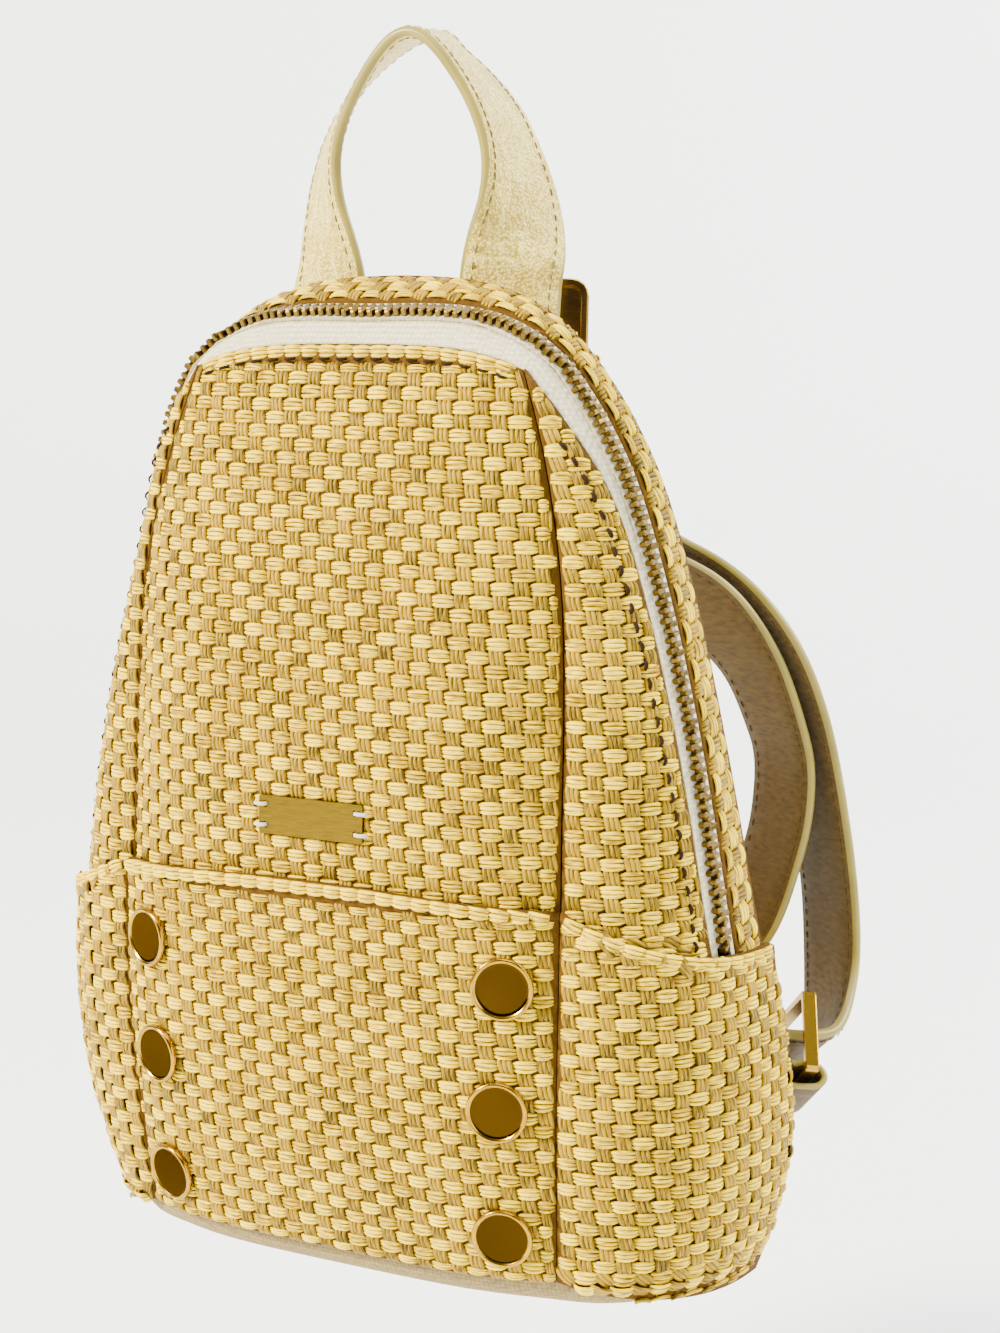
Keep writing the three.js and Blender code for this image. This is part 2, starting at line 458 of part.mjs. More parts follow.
const STRAP_LEFT = [
  [-0.126, 0.83, 0.738, 0, 0.09, -1],
  [0.09, 0.832, 0.738, 0, 0.09, -1],
  [0.306, 0.912, 0.736, 0, 0.03, -1],
  [0.477, 1.068, 0.737, -0.15, 0.08, -0.98],
  [0.617, 1.223, 0.719, -0.42, 0.2, -0.88],
  [0.748, 1.331, 0.683, -0.68, 0.32, -0.66],
  [0.856, 1.412, 0.614, -0.84, 0.42, -0.3],
  [0.914, 1.459, 0.541, -0.88, 0.46, -0.1],
  [0.937, 1.48, 0.496, -0.88, 0.47, 0],
  [0.932, 1.48, 0.438, -0.88, 0.47, 0],
  [0.905, 1.466, 0.388, -0.85, 0.5, 0.1],
  [0.838, 1.426, 0.306, -0.72, 0.5, 0.48],
  [0.685, 1.473, 0.256, -0.35, 0.3, 0.89],
  [0.405, 1.568, 0.235, -0.08, 0.12, 0.99],
  [0.0, 1.608, 0.228, 0, 0.1, 0.99],
  [-0.541, 1.622, 0.214, 0, 0.1, 0.99],
  [-0.811, 1.608, 0.199, -0.1, -0.1, 0.98],
  [-0.946, 1.514, 0.189, -0.35, -0.4, 0.85],
  [-0.955, 1.392, 0.183, -0.5, -0.55, 0.67],
  [-0.895, 1.311, 0.185, -0.55, -0.58, 0.6],
  [-0.846, 1.254, 0.189, -0.55, -0.58, 0.6],
];
const strap = (name, table, steps) => meshes.push(
  mesh(name, ribbon(strapRows(table), STRAP.width, STRAP.thick, steps), leather));
strap("shoulder_strap_right", STRAP_RIGHT, 40);
strap("shoulder_strap_left", STRAP_LEFT, 46);

// Rings: the middle of the near short bar, the way the long bars run and the way the short bars run
const ringAt = { near: onBag(1.041, 1.081, 0.247), along: V(-0.55, 0.583, -0.6).normalize(),
  up: V(-0.27, 0.554, 0.787).normalize() };
ringAt.through = ringAt.up.clone().cross(ringAt.along);
const onRing = (x, y, z) => ringAt.near.clone().addScaledVector(ringAt.along, x).addScaledVector(ringAt.up, y)
  .addScaledVector(ringAt.through, z);
const longHalf = (RING.long - RING.bar) / 2, shortHalf = (RING.short - RING.bar) / 2;
const ringLoops = outline(2 * longHalf, 2 * shortHalf, 1.2, 2).map(([x, y]) => {
  const b = RING.bar / 2, d = RING.deep / 2;
  return [[b, d], [b, -d], [-b, -d], [-b, d]].map(([k, z]) =>
    onRing(longHalf + x * (1 + k / longHalf), y * (1 + k / shortHalf), z));
});
// Tabs: the leather wraps the lower long bar; rows run from the sewn end over the bar and back
const WRAP = [[1, 0.65], [0, 0.85], [-1, 0.55], [-1.35, -0.15], [-0.9, -0.8], [0.15, -0.98], [1.25, -0.9]];
const rootAt = (share, depth, side) => {
  const p = rearAt(share * BAG_HEIGHT, side);
  return [V(Math.abs(p.x) + 1.2, p.y + depth, p.z), V(-0.2, 0.2, -0.96)];
};
const tabRows = (side) => [rootAt(0.242, TAB.over, side), ...WRAP.map(([n, v]) =>
  [onRing(TAB.wrap, v * TAB.wrap - shortHalf, n * TAB.wrap), ringAt.along]), rootAt(0.218, TAB.under, side)];
[["right", 1, (p) => p], ["left", -1, mirrored]].forEach(([name, side, turn]) => {
  meshes.push(mesh(`strap_ring_${name}`, loft(ringLoops.map((loop) => loop.map(turn)), true), brass));
  const tab = ribbon(tabRows(side), TAB.width, TAB.thick, 26);
  meshes.push(mesh(`strap_tab_${name}`, { points: tab.points.map(turn), faces: tab.faces }, leather));
});

// Zip slider and pull at the left end of the zip
const end = arch.at(-3), low = arch.at(-2), zipPoint = (s) => s.at(s.zipRun);
const down = zipPoint(low).sub(zipPoint(end)).normalize();
const across = end.at(end.zipRun + 1).sub(end.at(end.zipRun - 1)).normalize();
const slideFrame = frameOn(zipPoint(end).addScaledVector(down, SLIDER.above),
  across.clone().cross(down).negate(), down);
const wing = SLIDER.flange / 2, stem = half - 2 * GAP;
const tee = [[wing, SLIDER.sole], [wing, SLIDER.proud], [-wing, SLIDER.proud], [-wing, SLIDER.sole],
  [-stem, SLIDER.sole], [-stem, -CHAIN.thick / 2], [stem, -CHAIN.thick / 2], [stem, SLIDER.sole]];
const sliderLoops = [0, SLIDER.long].map((y) => tee.map(([x, z]) => inFrame(slideFrame, x, y, z)));
meshes.push(mesh("zip_slider", loft(sliderLoops), brass));
const pullLoops = outline(PULL.wide - PULL.bar, PULL.long - PULL.bar, 1.8, 3).map(([x, y]) =>
  [[1, 0], [1, PULL.thick], [-1, PULL.thick], [-1, 0]].map(([side, z]) => {
    const k = side * PULL.bar, at = [x * (1 + k / PULL.wide), y * (1 + k / PULL.long) + PULL.long / 2];
    return inFrame(slideFrame, ...at, z + SLIDER.proud + GAP);
  }));
meshes.push(mesh("zip_pull", loft(pullLoops, true), brass));

// The origin is the hang point: inside the crest of the handle, at the middle of its width.
const crest = handleRows[HANDLE_ROWS.length - 1];
const hang = crest[0].clone().addScaledVector(crest[1].normalize(), HANDLE.width / 2);
const bag = new THREE.Group();
bag.add(...meshes);
bag.position.set(0, -hang.y, HANDLE.thick / 2 - hang.z);
const root = new THREE.Group();
root.add(bag);
export default root;
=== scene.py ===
import math

import bmesh
import bpy
import numpy as np
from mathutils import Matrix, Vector
from mathutils.bvhtree import BVHTree


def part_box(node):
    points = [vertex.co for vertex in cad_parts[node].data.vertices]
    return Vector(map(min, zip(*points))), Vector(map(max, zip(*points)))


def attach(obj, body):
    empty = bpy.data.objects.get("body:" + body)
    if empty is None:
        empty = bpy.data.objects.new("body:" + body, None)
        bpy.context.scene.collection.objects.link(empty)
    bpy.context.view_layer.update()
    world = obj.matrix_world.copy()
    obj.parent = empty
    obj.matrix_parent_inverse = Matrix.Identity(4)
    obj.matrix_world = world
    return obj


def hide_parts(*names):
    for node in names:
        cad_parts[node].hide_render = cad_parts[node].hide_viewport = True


bl_info = {
    "name": "Woven straw backpack",
    "version": (1, 0, 0),
    "blender": (4, 5, 0),
    "location": "View3D > Sidebar > Backpack",
    "description": "Straw weave, zip, brass fittings and leather of a small backpack",
    "category": "Object",
}

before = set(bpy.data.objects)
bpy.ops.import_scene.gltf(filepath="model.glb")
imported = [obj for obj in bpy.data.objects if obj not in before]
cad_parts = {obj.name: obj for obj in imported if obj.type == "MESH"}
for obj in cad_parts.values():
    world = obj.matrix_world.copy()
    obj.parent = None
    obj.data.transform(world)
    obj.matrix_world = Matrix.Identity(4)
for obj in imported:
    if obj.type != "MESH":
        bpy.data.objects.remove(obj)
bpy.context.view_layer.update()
MM = 0.001
PARTS = {}  # loose shapes that the trees repeat
REACH = 0.3  # how far a line of sight runs, in metres
SIGHT_STEP = 0.4 * MM  # distance between the sights that find an edge
ARCH_AXIS = -0.237  # height of the level axis that the zip and the rear rim arch over
SIDE_AXES = {"upper": (0.040, -0.010), "lower": (0.050, -0.004)}  # upright axes inside each side, right hand
SIDE_SWEEP = (0.02, 2.6, 0.012)  # angles from the front round a side, in radians: first, last, step
ARCH_ENDS = (-0.2, math.pi + 0.2)  # angles where the arch starts and ends
FLOAT_LENGTH = 1.28  # a weft float's length, in columns
BUNDLE_WIDTH = 0.72  # a warp bundle's width, in columns
STRAND_SIDES = 4  # corners of a strand's cross-section
TALLEST = 1.35  # height that a cell is stretched to at most, in rows
EDGE_MARGIN = 0.15 * MM  # cloth left bare at the ends of a row
LEAST_WEFT, LEAST_WARP = 0.3, 0.22  # narrower cells than this are left out, in columns
THICKNESS = (0.88, 1.12)  # thinnest and thickest strand, as shares of the usual one
EDGE_SHIFT, EDGE_SQUASH = 0.22, 0.62  # edge cells: move inwards, and height that they keep
STEEPEST = 0.7  # rise per length beyond which a panel's edge counts as a side and gets no hem
HEM = (0.95, 1.0, 1.3)  # size of a hem strand, as shares of a float
WIDE_FACE = 12 * MM  # faces of a leather band longer than this are its flat sides, the rest its edges
STITCH_LIFT = 0.9 * MM  # how far the topstitches lie above the panels' walls
STITCH_SEED = 3
SEAM_INSET = 5.2 * MM  # from the zip's edge of a side panel to its row of stitches
TOOTH = (1.6 * MM, 3.9 * MM, 2.3 * MM)  # a zip tooth's size along, across and out of the chain
TOOTH_ASIDE, TOOTH_SINK = 1.1 * MM, 0.3 * MM  # how far teeth stand from the chain's middle, and into it
BED_WIDEN, BED_SINK = 0.35 * MM, 1.1 * MM  # cloth under the teeth: wider and lower than the solid
RIVET_TURNS = 64  # facets round a rivet cap
CAMERA_PLACE, CAMERA_AIM = (0.3463, -0.6099, -0.0758), Vector((-0.46438, 0.87336, -0.14693))
# The backdrop's outline: distance from the bag along the line of sight, and height
SWEEP_PROFILE = ((-2.6, -0.46), (1.2, -0.46), (1.35, -0.44), (1.48, -0.38), (1.57, -0.28), (1.6, -0.14),
                 (1.6, 2.6))
SWEEP_HALF = 3  # half the backdrop's width
BAG_MIDDLE = (0, 0, -0.2)
# Lights round the bag: name, place, size, power as a share of the key light's, colour
LAMPS = (("Window light", (-1.25, -1.5, 1.0), 0.5, 1.0, "FFF9EC"),
         ("Ceiling light", (0.3, -0.2, 1.3), 1.0, 0.1, "FFFFFF"),
         ("Side fill", (1.3, -0.5, 0.0), 0.9, 0.05, "F4F8FF"))
ROOM_GLOW, ROOM_SEEN = 0.2, 1.1  # strength of the surroundings as a light, and where the camera sees them


# Colours and nodes

def linear(hex_code):
    """sRGB hex to the linear colour that a shader reads."""
    rgb = [int(hex_code[i:i + 2], 16) / 255 for i in (0, 2, 4)]
    return (*[c / 12.92 if c <= 0.04045 else ((c + 0.055) / 1.055) ** 2.4 for c in rgb], 1.0)


def add(tree, kind, inputs=None, **settings):
    """Adds a node with its settings; an input is a value or another node's socket."""
    node = tree.nodes.new(kind)
    for name, value in settings.items():
        setattr(node, name, value)
    for key, value in (inputs or {}).items():
        if isinstance(value, bpy.types.NodeSocket):
            tree.links.new(value, node.inputs[key])
        else:
            node.inputs[key].default_value = value
    return node


def new_material(name, colour, roughness, metallic=0.0, **shader):
    """A material with its shader node; returns both."""
    made = bpy.data.materials.new(name)
    made.use_nodes = True
    surface = made.node_tree.nodes["Principled BSDF"]
    surface.inputs["Base Color"].default_value = linear(colour)
    surface.inputs["Roughness"].default_value = roughness
    surface.inputs["Metallic"].default_value = metallic
    for key, value in shader.items():
        surface.inputs[key.replace("_", " ")].default_value = value
    return made, surface


def pattern_place(tree, scale):
    """Object coordinates stretched by a scale for each axis, per metre."""
    place = add(tree, "ShaderNodeTexCoord").outputs["Object"]
    return add(tree, "ShaderNodeMapping", {"Vector": place, "Scale": scale}).outputs["Vector"]


def noise(tree, place, scale=1.0, **more):
    """The value of a noise pattern at a place."""
    return add(tree, "ShaderNodeTexNoise", {"Vector": place, "Scale": scale, **more}).outputs["Fac"]


def blended(tree, surface, factor, low, high):
    """Colours a surface between two hex colours by a factor."""
    mixer = add(tree, "ShaderNodeMix", {"Factor": factor, 6: linear(low), 7: linear(high)}, data_type="RGBA")
    tree.links.new(mixer.outputs[2], surface.inputs["Base Color"])


def relief(tree, surface, height, distance_mm, strength=1.0):
    """Bump of a real height in millimetres."""
    bump = add(tree, "ShaderNodeBump", {"Height": height, "Distance": distance_mm * MM, "Strength": strength})
    tree.links.new(bump.outputs["Normal"], surface.inputs["Normal"])


# Materials, named for what they are

def tone_shift(tree, tone):
    """A shift of the fibre pattern that differs from cell to cell."""
    return add(tree, "ShaderNodeVectorMath", {0: tone, "Scale": 90.0}, operation="SCALE").outputs["Vector"]


def straw_fibre(name, low, high, fine):
    """Natural paper straw, flattened and woven: dry, satin, with fibres of about half a millimetre."""
    made, surface = new_material(name, high, 0.5, Specular_Tint=(1.0, 0.75, 0.25, 1.0))
    tree = made.node_tree
    tone = add(tree, "ShaderNodeAttribute", attribute_name="tone").outputs["Fac"]
    fibre = add(tree, "ShaderNodeAttribute", attribute_name="fibre").outputs["Vector"]
    stretched = add(tree, "ShaderNodeMapping", {"Vector": fibre, "Scale": (0.25, fine, 1.0)})
    apart = add(tree, "ShaderNodeVectorMath", {0: stretched.outputs["Vector"], 1: tone_shift(tree, tone)},
                operation="ADD").outputs["Vector"]
    grain = noise(tree, apart, Detail=2.0)
    share = add(tree, "ShaderNodeMath", {0: tone, 1: 0.22}, operation="MULTIPLY").outputs[0]
    shade = add(tree, "ShaderNodeMath", {0: share, 1: grain}, operation="ADD")
    shade = add(tree, "ShaderNodeMapRange", {"Value": shade.outputs[0], "From Min": 0.4, "From Max": 0.74})
    blended(tree, surface, shade.outputs["Result"], low, high)
    relief(tree, surface, grain, 0.25, 0.8)
    return made


def straw_ground():
    """The shade between the crossings, where the straw turns under and little light falls."""
    made, surface = new_material("Shaded straw", "9A7436", 0.9, Specular_IOR_Level=0.1)
    tree = made.node_tree
    blended(tree, surface, noise(tree, pattern_place(tree, (1, 1, 1)), 900.0), "3A2404", "64460E")
    return made


def woven_cloth(name, low, high, threads_per_mm, height):
    """Plain cotton cloth: matt, with a fine over-and-under grain and painted shade where the threads dip;
    threads drawn coarse enough to show.
    """
    made, surface = new_material(name, high, 0.9)
    tree = made.node_tree
    scale = threads_per_mm * 1000 / 2
    place = pattern_place(tree, (scale, scale, scale))
    checks = add(tree, "ShaderNodeTexVoronoi", {"Vector": place, "Scale": 1.0, "Randomness": 0.35})
    # Painted shade: the colour darkens where the bump sinks, between the threads.
    blended(tree, surface, checks.outputs["Distance"], high, low)
    relief(tree, surface, checks.outputs["Distance"], -height, 0.7)
    return made


def pebbled_leather():
    """Full-grain cowhide with a pale pearly finish: fine pebbles of about 0.8 mm and long soft creases, with
    painted shade in the dents and creases.
    """
    made, surface = new_material("Pearly pebbled leather", "E6D8A4", 0.42,
                                 Specular_Tint=(1.0, 0.85, 0.5, 1.0))
    tree = made.node_tree
    place = pattern_place(tree, (1, 1, 1))
    pebbles = add(tree, "ShaderNodeTexVoronoi", {"Vector": place, "Scale": 1250.0}).outputs["Distance"]
    creases = noise(tree, pattern_place(tree, (260, 260, 90)), Detail=4.0, Distortion=1.5)
    both = add(tree, "ShaderNodeMath", {0: pebbles, 1: creases}, operation="ADD").outputs[0]
    # Painted shade: the colour darkens where the bump sinks, in the dents between pebbles and in the creases.
    painted_dent_shade = add(tree, "ShaderNodeMapRange", {"Value": both, "From Min": 0.45, "From Max": 1.25})
    blended(tree, surface, painted_dent_shade.outputs["Result"], "FFEE86", "B09430")
    relief(tree, surface, both, -0.35, 0.8)
    return made


def split_leather():
    """Greige lining leather of the straps: matt, close nap with a fine grain across the strap."""
    made, surface = new_material("Greige lining leather", "A8997B", 0.75)
    tree = made.node_tree
    grain = noise(tree, pattern_place(tree, (320, 320, 950)), Detail=3.0)
    blended(tree, surface, grain, "2A1F08", "6A5529")
    relief(tree, surface, grain, 0.2, 0.7)
    return made


def painted_edge():
    """Edge paint on cut leather: olive, rounded, with a soft gloss."""
    made, surface = new_material("Olive edge paint", "A89B55", 0.42)
    tree = made.node_tree
    blended(tree, surface, noise(tree, pattern_place(tree, (60, 60, 60))), "706218", "9E8E36")
    return made


def brass_wear_and_reflection(name, low, high, roughness, marks_and_reflection_scale=(1, 1, 1), depth=0.01):
    """Brass with a drift of tone from handling and fine marks from its finishing; on the rivets' mirror faces
    the dark colours and a drift as wide as a cap are painted reflection.
    """
    made, surface = new_material(name, high, roughness, 1.0)
    tree = made.node_tree
    marks_and_reflection = noise(tree, pattern_place(tree, marks_and_reflection_scale), 300.0, Detail=2.0)
    blended(tree, surface, marks_and_reflection, low, high)
    relief(tree, surface, marks_and_reflection, depth, 0.4)
    return made


def thread(name, low, high):
    """Sewing thread: matt, lightly mottled by its twist."""
    made, surface = new_material(name, high, 0.85, Specular_IOR_Level=0.15)
    tree = made.node_tree
    blended(tree, surface, noise(tree, pattern_place(tree, (2200, 2200, 2200))), low, high)
    return made


# Meshes

def mesh_object(name, points, faces, materials=(), indices=None, smooth=True):
    """A mesh object in metres at the origin."""
    data = bpy.data.meshes.new(name)
    data.from_pydata([tuple(p) for p in points], [], [tuple(f) for f in faces])
    for m in materials:
        data.materials.append(m)
    if indices is not None:
        data.polygons.foreach_set("material_index", np.asarray(indices, np.int32))
    data.polygons.foreach_set("use_smooth", np.full(len(data.polygons), smooth))
    data.update()
    made = bpy.data.objects.new(name, data)
    bpy.context.scene.collection.objects.link(made)
    return made


def merged_copy(node, name, quads=True, crease=None):
    """A copy of a CAD node, merged, joined to quads where flat and creased where sharper than an angle."""
    bm = bmesh.new()
    bm.from_mesh(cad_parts[node].data)
    bmesh.ops.remove_doubles(bm, verts=bm.verts, dist=0.01 * MM)
    if quads:
        bmesh.ops.join_triangles(bm, faces=bm.faces, angle_face_threshold=math.radians(35),
                                 angle_shape_threshold=math.radians(50))
    if crease:
        layer = bm.edges.layers.float.new("crease_edge")
        for e in bm.edges:
            if len(e.link_faces) == 2 and e.calc_face_angle() > math.radians(crease):
                e[layer] = 1.0
    data = bpy.data.meshes.new(name)
    bm.to_mesh(data)
    bm.free()
    made = bpy.data.objects.new(name, data)
    bpy.context.scene.collection.objects.link(made)
    return made


def finish_mesh(obj, smooth=True):
    """Applies the modifiers into a plain mesh."""
    graph = bpy.context.evaluated_depsgraph_get()
    bpy.context.view_layer.update()
    done = bpy.data.meshes.new_from_object(obj.evaluated_get(graph), preserve_all_data_layers=True,
                                           depsgraph=graph)
    obj.modifiers.clear()
    obj.data = done
    done.polygons.foreach_set("use_smooth", np.full(len(done.polygons), smooth))
    return obj


def softened(node, name, levels, material):
    """A smooth copy of a cloth, straw or leather solid."""
    made = merged_copy(node, name, crease=50)
    made.data.materials.append(material)
    soft = made.modifiers.new("Rounding", "SUBSURF")
    soft.levels = soft.render_levels = levels
    return finish_mesh(made)


def bevelled(node, name, width_mm, material, segments=2):
    """A copy of a hard solid with its edges eased."""
    made = merged_copy(node, name, quads=False)
    made.data.materials.append(material)
    ease = made.modifiers.new("Eased edges", "BEVEL")
    ease.width, ease.segments, ease.limit_method = width_mm * MM, segments, "ANGLE"
    ease.angle_limit = math.radians(32)
    return finish_mesh(made, smooth=False)


def joined(name, pieces):
    """One object from several."""
    pieces = [p for p in pieces if p is not None]
    with bpy.context.temp_override(active_object=pieces[0], object=pieces[0],
                                   selected_objects=pieces, selected_editable_objects=pieces):
        bpy.ops.object.join()
    pieces[0].name = pieces[0].data.name = name
    return pieces[0]


def seat(obj, slot, *nodes):
    """The finished piece stands for its CAD nodes and hangs with the bag."""
    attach(obj, "root")
    if nodes:
        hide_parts(*nodes)
    return obj


def hump(length, width, height, across=0.0, dive=0.0, turns=4, twist=0.0, pinch=0.0):
    """Points and faces of one straw strand that rises out of the cloth and goes under at both ends."""
    points, faces, fibre = [], [], []
    for i in range(turns + 1):
        t = i / turns
        x, rise = (t - 0.5) * length, math.sin(math.pi * t) ** 0.6
        z, shift = height * rise - dive, twist * (t - 0.5)
        half = width / 2 * (0.75 + 0.25 * rise)
        for k in range(STRAND_SIDES):
            a = math.pi * k / (STRAND_SIDES - 1)
            y = across * (1 - pinch + pinch * rise) + shift + half * math.cos(a)
            points.append((x * MM, y * MM, (z + 0.42 * width * math.sin(a) - 0.2 * width) * MM))
            fibre.append((x, y))
    for i in range(turns):
        for k in range(STRAND_SIDES):
            a, b = i * STRAND_SIDES + k, i * STRAND_SIDES + (k + 1) % STRAND_SIDES
            faces.append((a, a + STRAND_SIDES, b + STRAND_SIDES, b))
    faces.append(tuple(range(STRAND_SIDES)))
    faces.append(tuple(reversed(range(turns * STRAND_SIDES, (turns + 1) * STRAND_SIDES))))
    return points, faces, fibre


def strand_shape(name, strands):
    """A loose shape of one or more strands, kept out of the scene, with the place along its fibres."""
    points, faces, fibre = [], [], []
    for made in strands:
        base = len(points)
        points += made[0]
        faces += [tuple(base + i for i in face) for face in made[1]]
        fibre += made[2]
    data = bpy.data.meshes.new(name)
    data.from_pydata(points, [], faces)
    data.polygons.foreach_set("use_smooth", np.ones(len(faces), bool))
    layer = data.attributes.new("fibre", "FLOAT_VECTOR", "POINT")
    layer.data.foreach_set("vector", np.array([(x, y, 0.0) for x, y in fibre], np.float32).ravel())
    bm = bmesh.new()
    bm.from_mesh(data)
    bmesh.ops.recalc_face_normals(bm, faces=bm.faces)
    bm.to_mesh(data)
    bm.free()
    PARTS[name] = bpy.data.objects.new(name, data)
    return PARTS[name]


def laying_tree():
    """Lays a loose shape on every point of a mesh, turned by the point's own directions."""
    if "Laid along the cloth" in bpy.data.node_groups:
        return bpy.data.node_groups["Laid along the cloth"]
    tree = bpy.data.node_groups.new("Laid along the cloth", "GeometryNodeTree")
    face = tree.interface
    face.new_socket(name="Geometry", in_out="INPUT", socket_type="NodeSocketGeometry")
    face.new_socket(name="Shape", in_out="INPUT", socket_type="NodeSocketObject")
    face.new_socket(name="Material", in_out="INPUT", socket_type="NodeSocketMaterial")
    face.new_socket(name="Geometry", in_out="OUTPUT", socket_type="NodeSocketGeometry")
    given = add(tree, "NodeGroupInput")
    shape = add(tree, "GeometryNodeObjectInfo", {"Object": given.outputs["Shape"]})
    out = add(tree, "GeometryNodeInputNamedAttribute", {"Name": "outward"}, data_type="FLOAT_VECTOR")
    run = add(tree, "GeometryNodeInputNamedAttribute", {"Name": "along"}, data_type="FLOAT_VECTOR")
    size = add(tree, "GeometryNodeInputNamedAttribute", {"Name": "size"}, data_type="FLOAT_VECTOR")
    turn = add(tree, "FunctionNodeAxesToRotation", {"Primary Axis": out.outputs["Attribute"],
               "Secondary Axis": run.outputs["Attribute"]}, primary_axis="Z", secondary_axis="X")
    laid = add(tree, "GeometryNodeInstanceOnPoints", {
        "Points": given.outputs["Geometry"], "Instance": shape.outputs["Geometry"],
        "Rotation": turn.outputs["Rotation"], "Scale": size.outputs["Attribute"]})
    real = add(tree, "GeometryNodeRealizeInstances", {"Geometry": laid.outputs["Instances"]})
    done = add(tree, "GeometryNodeSetMaterial", {"Geometry": real.outputs["Geometry"],
                                                 "Material": given.outputs["Material"]})
    add(tree, "NodeGroupOutput", {"Geometry": done.outputs["Geometry"]})
    return tree


def laid(name, spots, shape, material):
    """A plain mesh of the shape on every spot: (place, outward, along, size, tone)."""
    if not spots:
        return None
    made = mesh_object(name, [s[0] for s in spots], [])
    for column, key in enumerate(("outward", "along", "size"), 1):
        layer = made.data.attributes.new(key, "FLOAT_VECTOR", "POINT")
        layer.data.foreach_set("vector", np.array([tuple(s[column]) for s in spots], np.float32).ravel())
    layer = made.data.attributes.new("tone", "FLOAT", "POINT")
    layer.data.foreach_set("value", np.array([s[4] for s in spots], np.float32))
    tree = laying_tree()
    given = {s.name: s.identifier for s in tree.interface.items_tree if s.in_out == "INPUT"}
    modifier = made.modifiers.new("Laying", "NODES")
    modifier.node_group = tree
    modifier[given["Shape"]], modifier[given["Material"]] = shape, material
    finish_mesh(made)
    for key in ("outward", "along", "size"):
        if key in made.data.attributes:
            made.data.attributes.remove(made.data.attributes[key])
    return made


# Reading places off the solids

class Skin:
    """The outer face of a CAD node, read by straight lines of sight."""

    def __init__(self, node, look):
        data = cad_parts[node].data
        self.tree = BVHTree.FromPolygons([v.co for v in data.vertices],
                                         [tuple(p.vertices) for p in data.polygons])
        self.look = look
        self.low, self.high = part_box(node)

    def at(self, s, t):
        """The point that a line of sight meets, or None."""
        start, way = self.look(s, t)
        return self.tree.ray_cast(start, way, REACH)[0]

    def across(self, angle):
        """Points met from front to back at one angle of the arch, as (depth, point)."""
        return self.run(lambda t: self.at(angle, t), self.low.y - MM, self.high.y + MM, SIGHT_STEP)

    def run(self, line, low, high, step):
        """Points met along one line of sights, as (parameter, point)."""
        count = max(int((high - low) / step), 2)
        keys = [low + (high - low) * i / count for i in range(count + 1)]
        return [(k, p) for k, p in ((k, line(k)) for k in keys) if p is not None]


def from_front(s, t):
    """A level line of sight from the front; s runs to the right, t upwards."""
    return Vector((s, -REACH, t)), Vector((0, 1, 0))


def from_back(s, t):
    """A level line of sight from behind; s runs to that viewer's right, t upwards."""
    return Vector((-s, REACH / 2, t)), Vector((0, -1, 0))


def from_side(side, centre):
    """Lines of sight towards an upright axis; s is the angle from the front, turning to the rear."""
    def look(s, t):
        way = Vector((side * math.sin(s), -math.cos(s), 0))
        return Vector((centre[0], centre[1], t)) + REACH * way, -way
    return look


def from_arch(height):
    """Lines of sight towards a level axis from front to back; s is the angle from the right over the top."""
    def look(s, t):
        way = Vector((math.cos(s), 0, math.sin(s)))
        return Vector((0, t, height)) + REACH * way, -way
    return look


def even_steps(found, pitch):
    """Parameters at an even distance along a met line."""
    run = run_along([p for _, p in found])
    count = max(int(run[-1] / pitch), 1)
    start = (run[-1] - (count - 1) * pitch) / 2
    return np.interp([start + pitch * i for i in range(count)], run, [k for k, _ in found])


def run_along(points):
    """Distance of each point from the first, along the line."""
    return np.concatenate([[0.0], np.cumsum([(b - a).length for a, b in zip(points, points[1:])])])


def between(points, run, at):
    """The point at a distance along a line."""
    return Vector([np.interp(at, run, [q[axis] for q in points]) for axis in range(3)])


def cloth_rows(lines, pitch, starts):
    """Cells at an even distance along each line: {(column, row): (place, line, run, distance)}."""
    cells = {}
    for k, (points, start) in enumerate(zip(lines, starts)):
        if len(points) < 4:
            continue
        run = run_along(points)
        for i in range(math.ceil(-start / pitch) - 1, math.floor((run[-1] - start) / pitch) + 2):
            at = start + i * pitch
            cells[i, k] = (between(points, run, at), points, run, at)
    return cells


def level_lines(skin, low, high, step, rows):
    """Level lines of met points, one for each row, with the parameter at each point."""
    return [skin.run(lambda s: skin.at(s, z), low, high, step) for z in rows]


def middles(found):
    """Distance from each line's start to the bag's middle plane, so that the columns stand upright."""
    return [np.interp(0, [s for s, _ in line], run_along([q for _, q in line])) if line else 0
            for line in found]


def weave_spots(cells, way_out, rng, pitch, row_pitch, phase=0):
    """Spots of pale weft floats and darker warp bundles on a chequer, cut short at the cloth's edges."""
    weft, warp = [], []
    for (i, k), (place, points, run, at) in cells.items():
        over = [cells.get((i, k + d)) for d in (-1, 1)]
        if not any(over):
            continue
        up = (over[1] or cells[i, k])[0] - (over[0] or cells[i, k])[0]
        tall = min(up.length / (sum(q is not None for q in over) * row_pitch), TALLEST)
        weft_cell = (i + k + phase) % 2 == 0
        reach = (FLOAT_LENGTH if weft_cell else BUNDLE_WIDTH) * pitch / 2
        low, high = max(at - reach, EDGE_MARGIN), min(at + reach, run[-1] - EDGE_MARGIN)
        if high - low < (LEAST_WEFT if weft_cell else LEAST_WARP) * pitch:
            continue
        a, b = between(points, run, low), between(points, run, high)
        along = b - a
        outward = along.cross(up).normalized()
        if outward.dot(way_out(place)) < 0:
            outward.negate()
        place = between(points, run, (low + high) / 2)
        share, tone, thick = (high - low) / (2 * reach), rng.uniform(0, 1), rng.uniform(*THICKNESS)
        if not all(over):
            place = place.lerp((over[0] or over[1])[0], EDGE_SHIFT)
            tall *= EDGE_SQUASH
        if weft_cell:
            weft.append((place, outward, along.normalized(), (share, tall, thick), tone))
        else:
            warp.append((place, outward, up.normalized(), (tall, share, thick), tone))
    return weft, warp


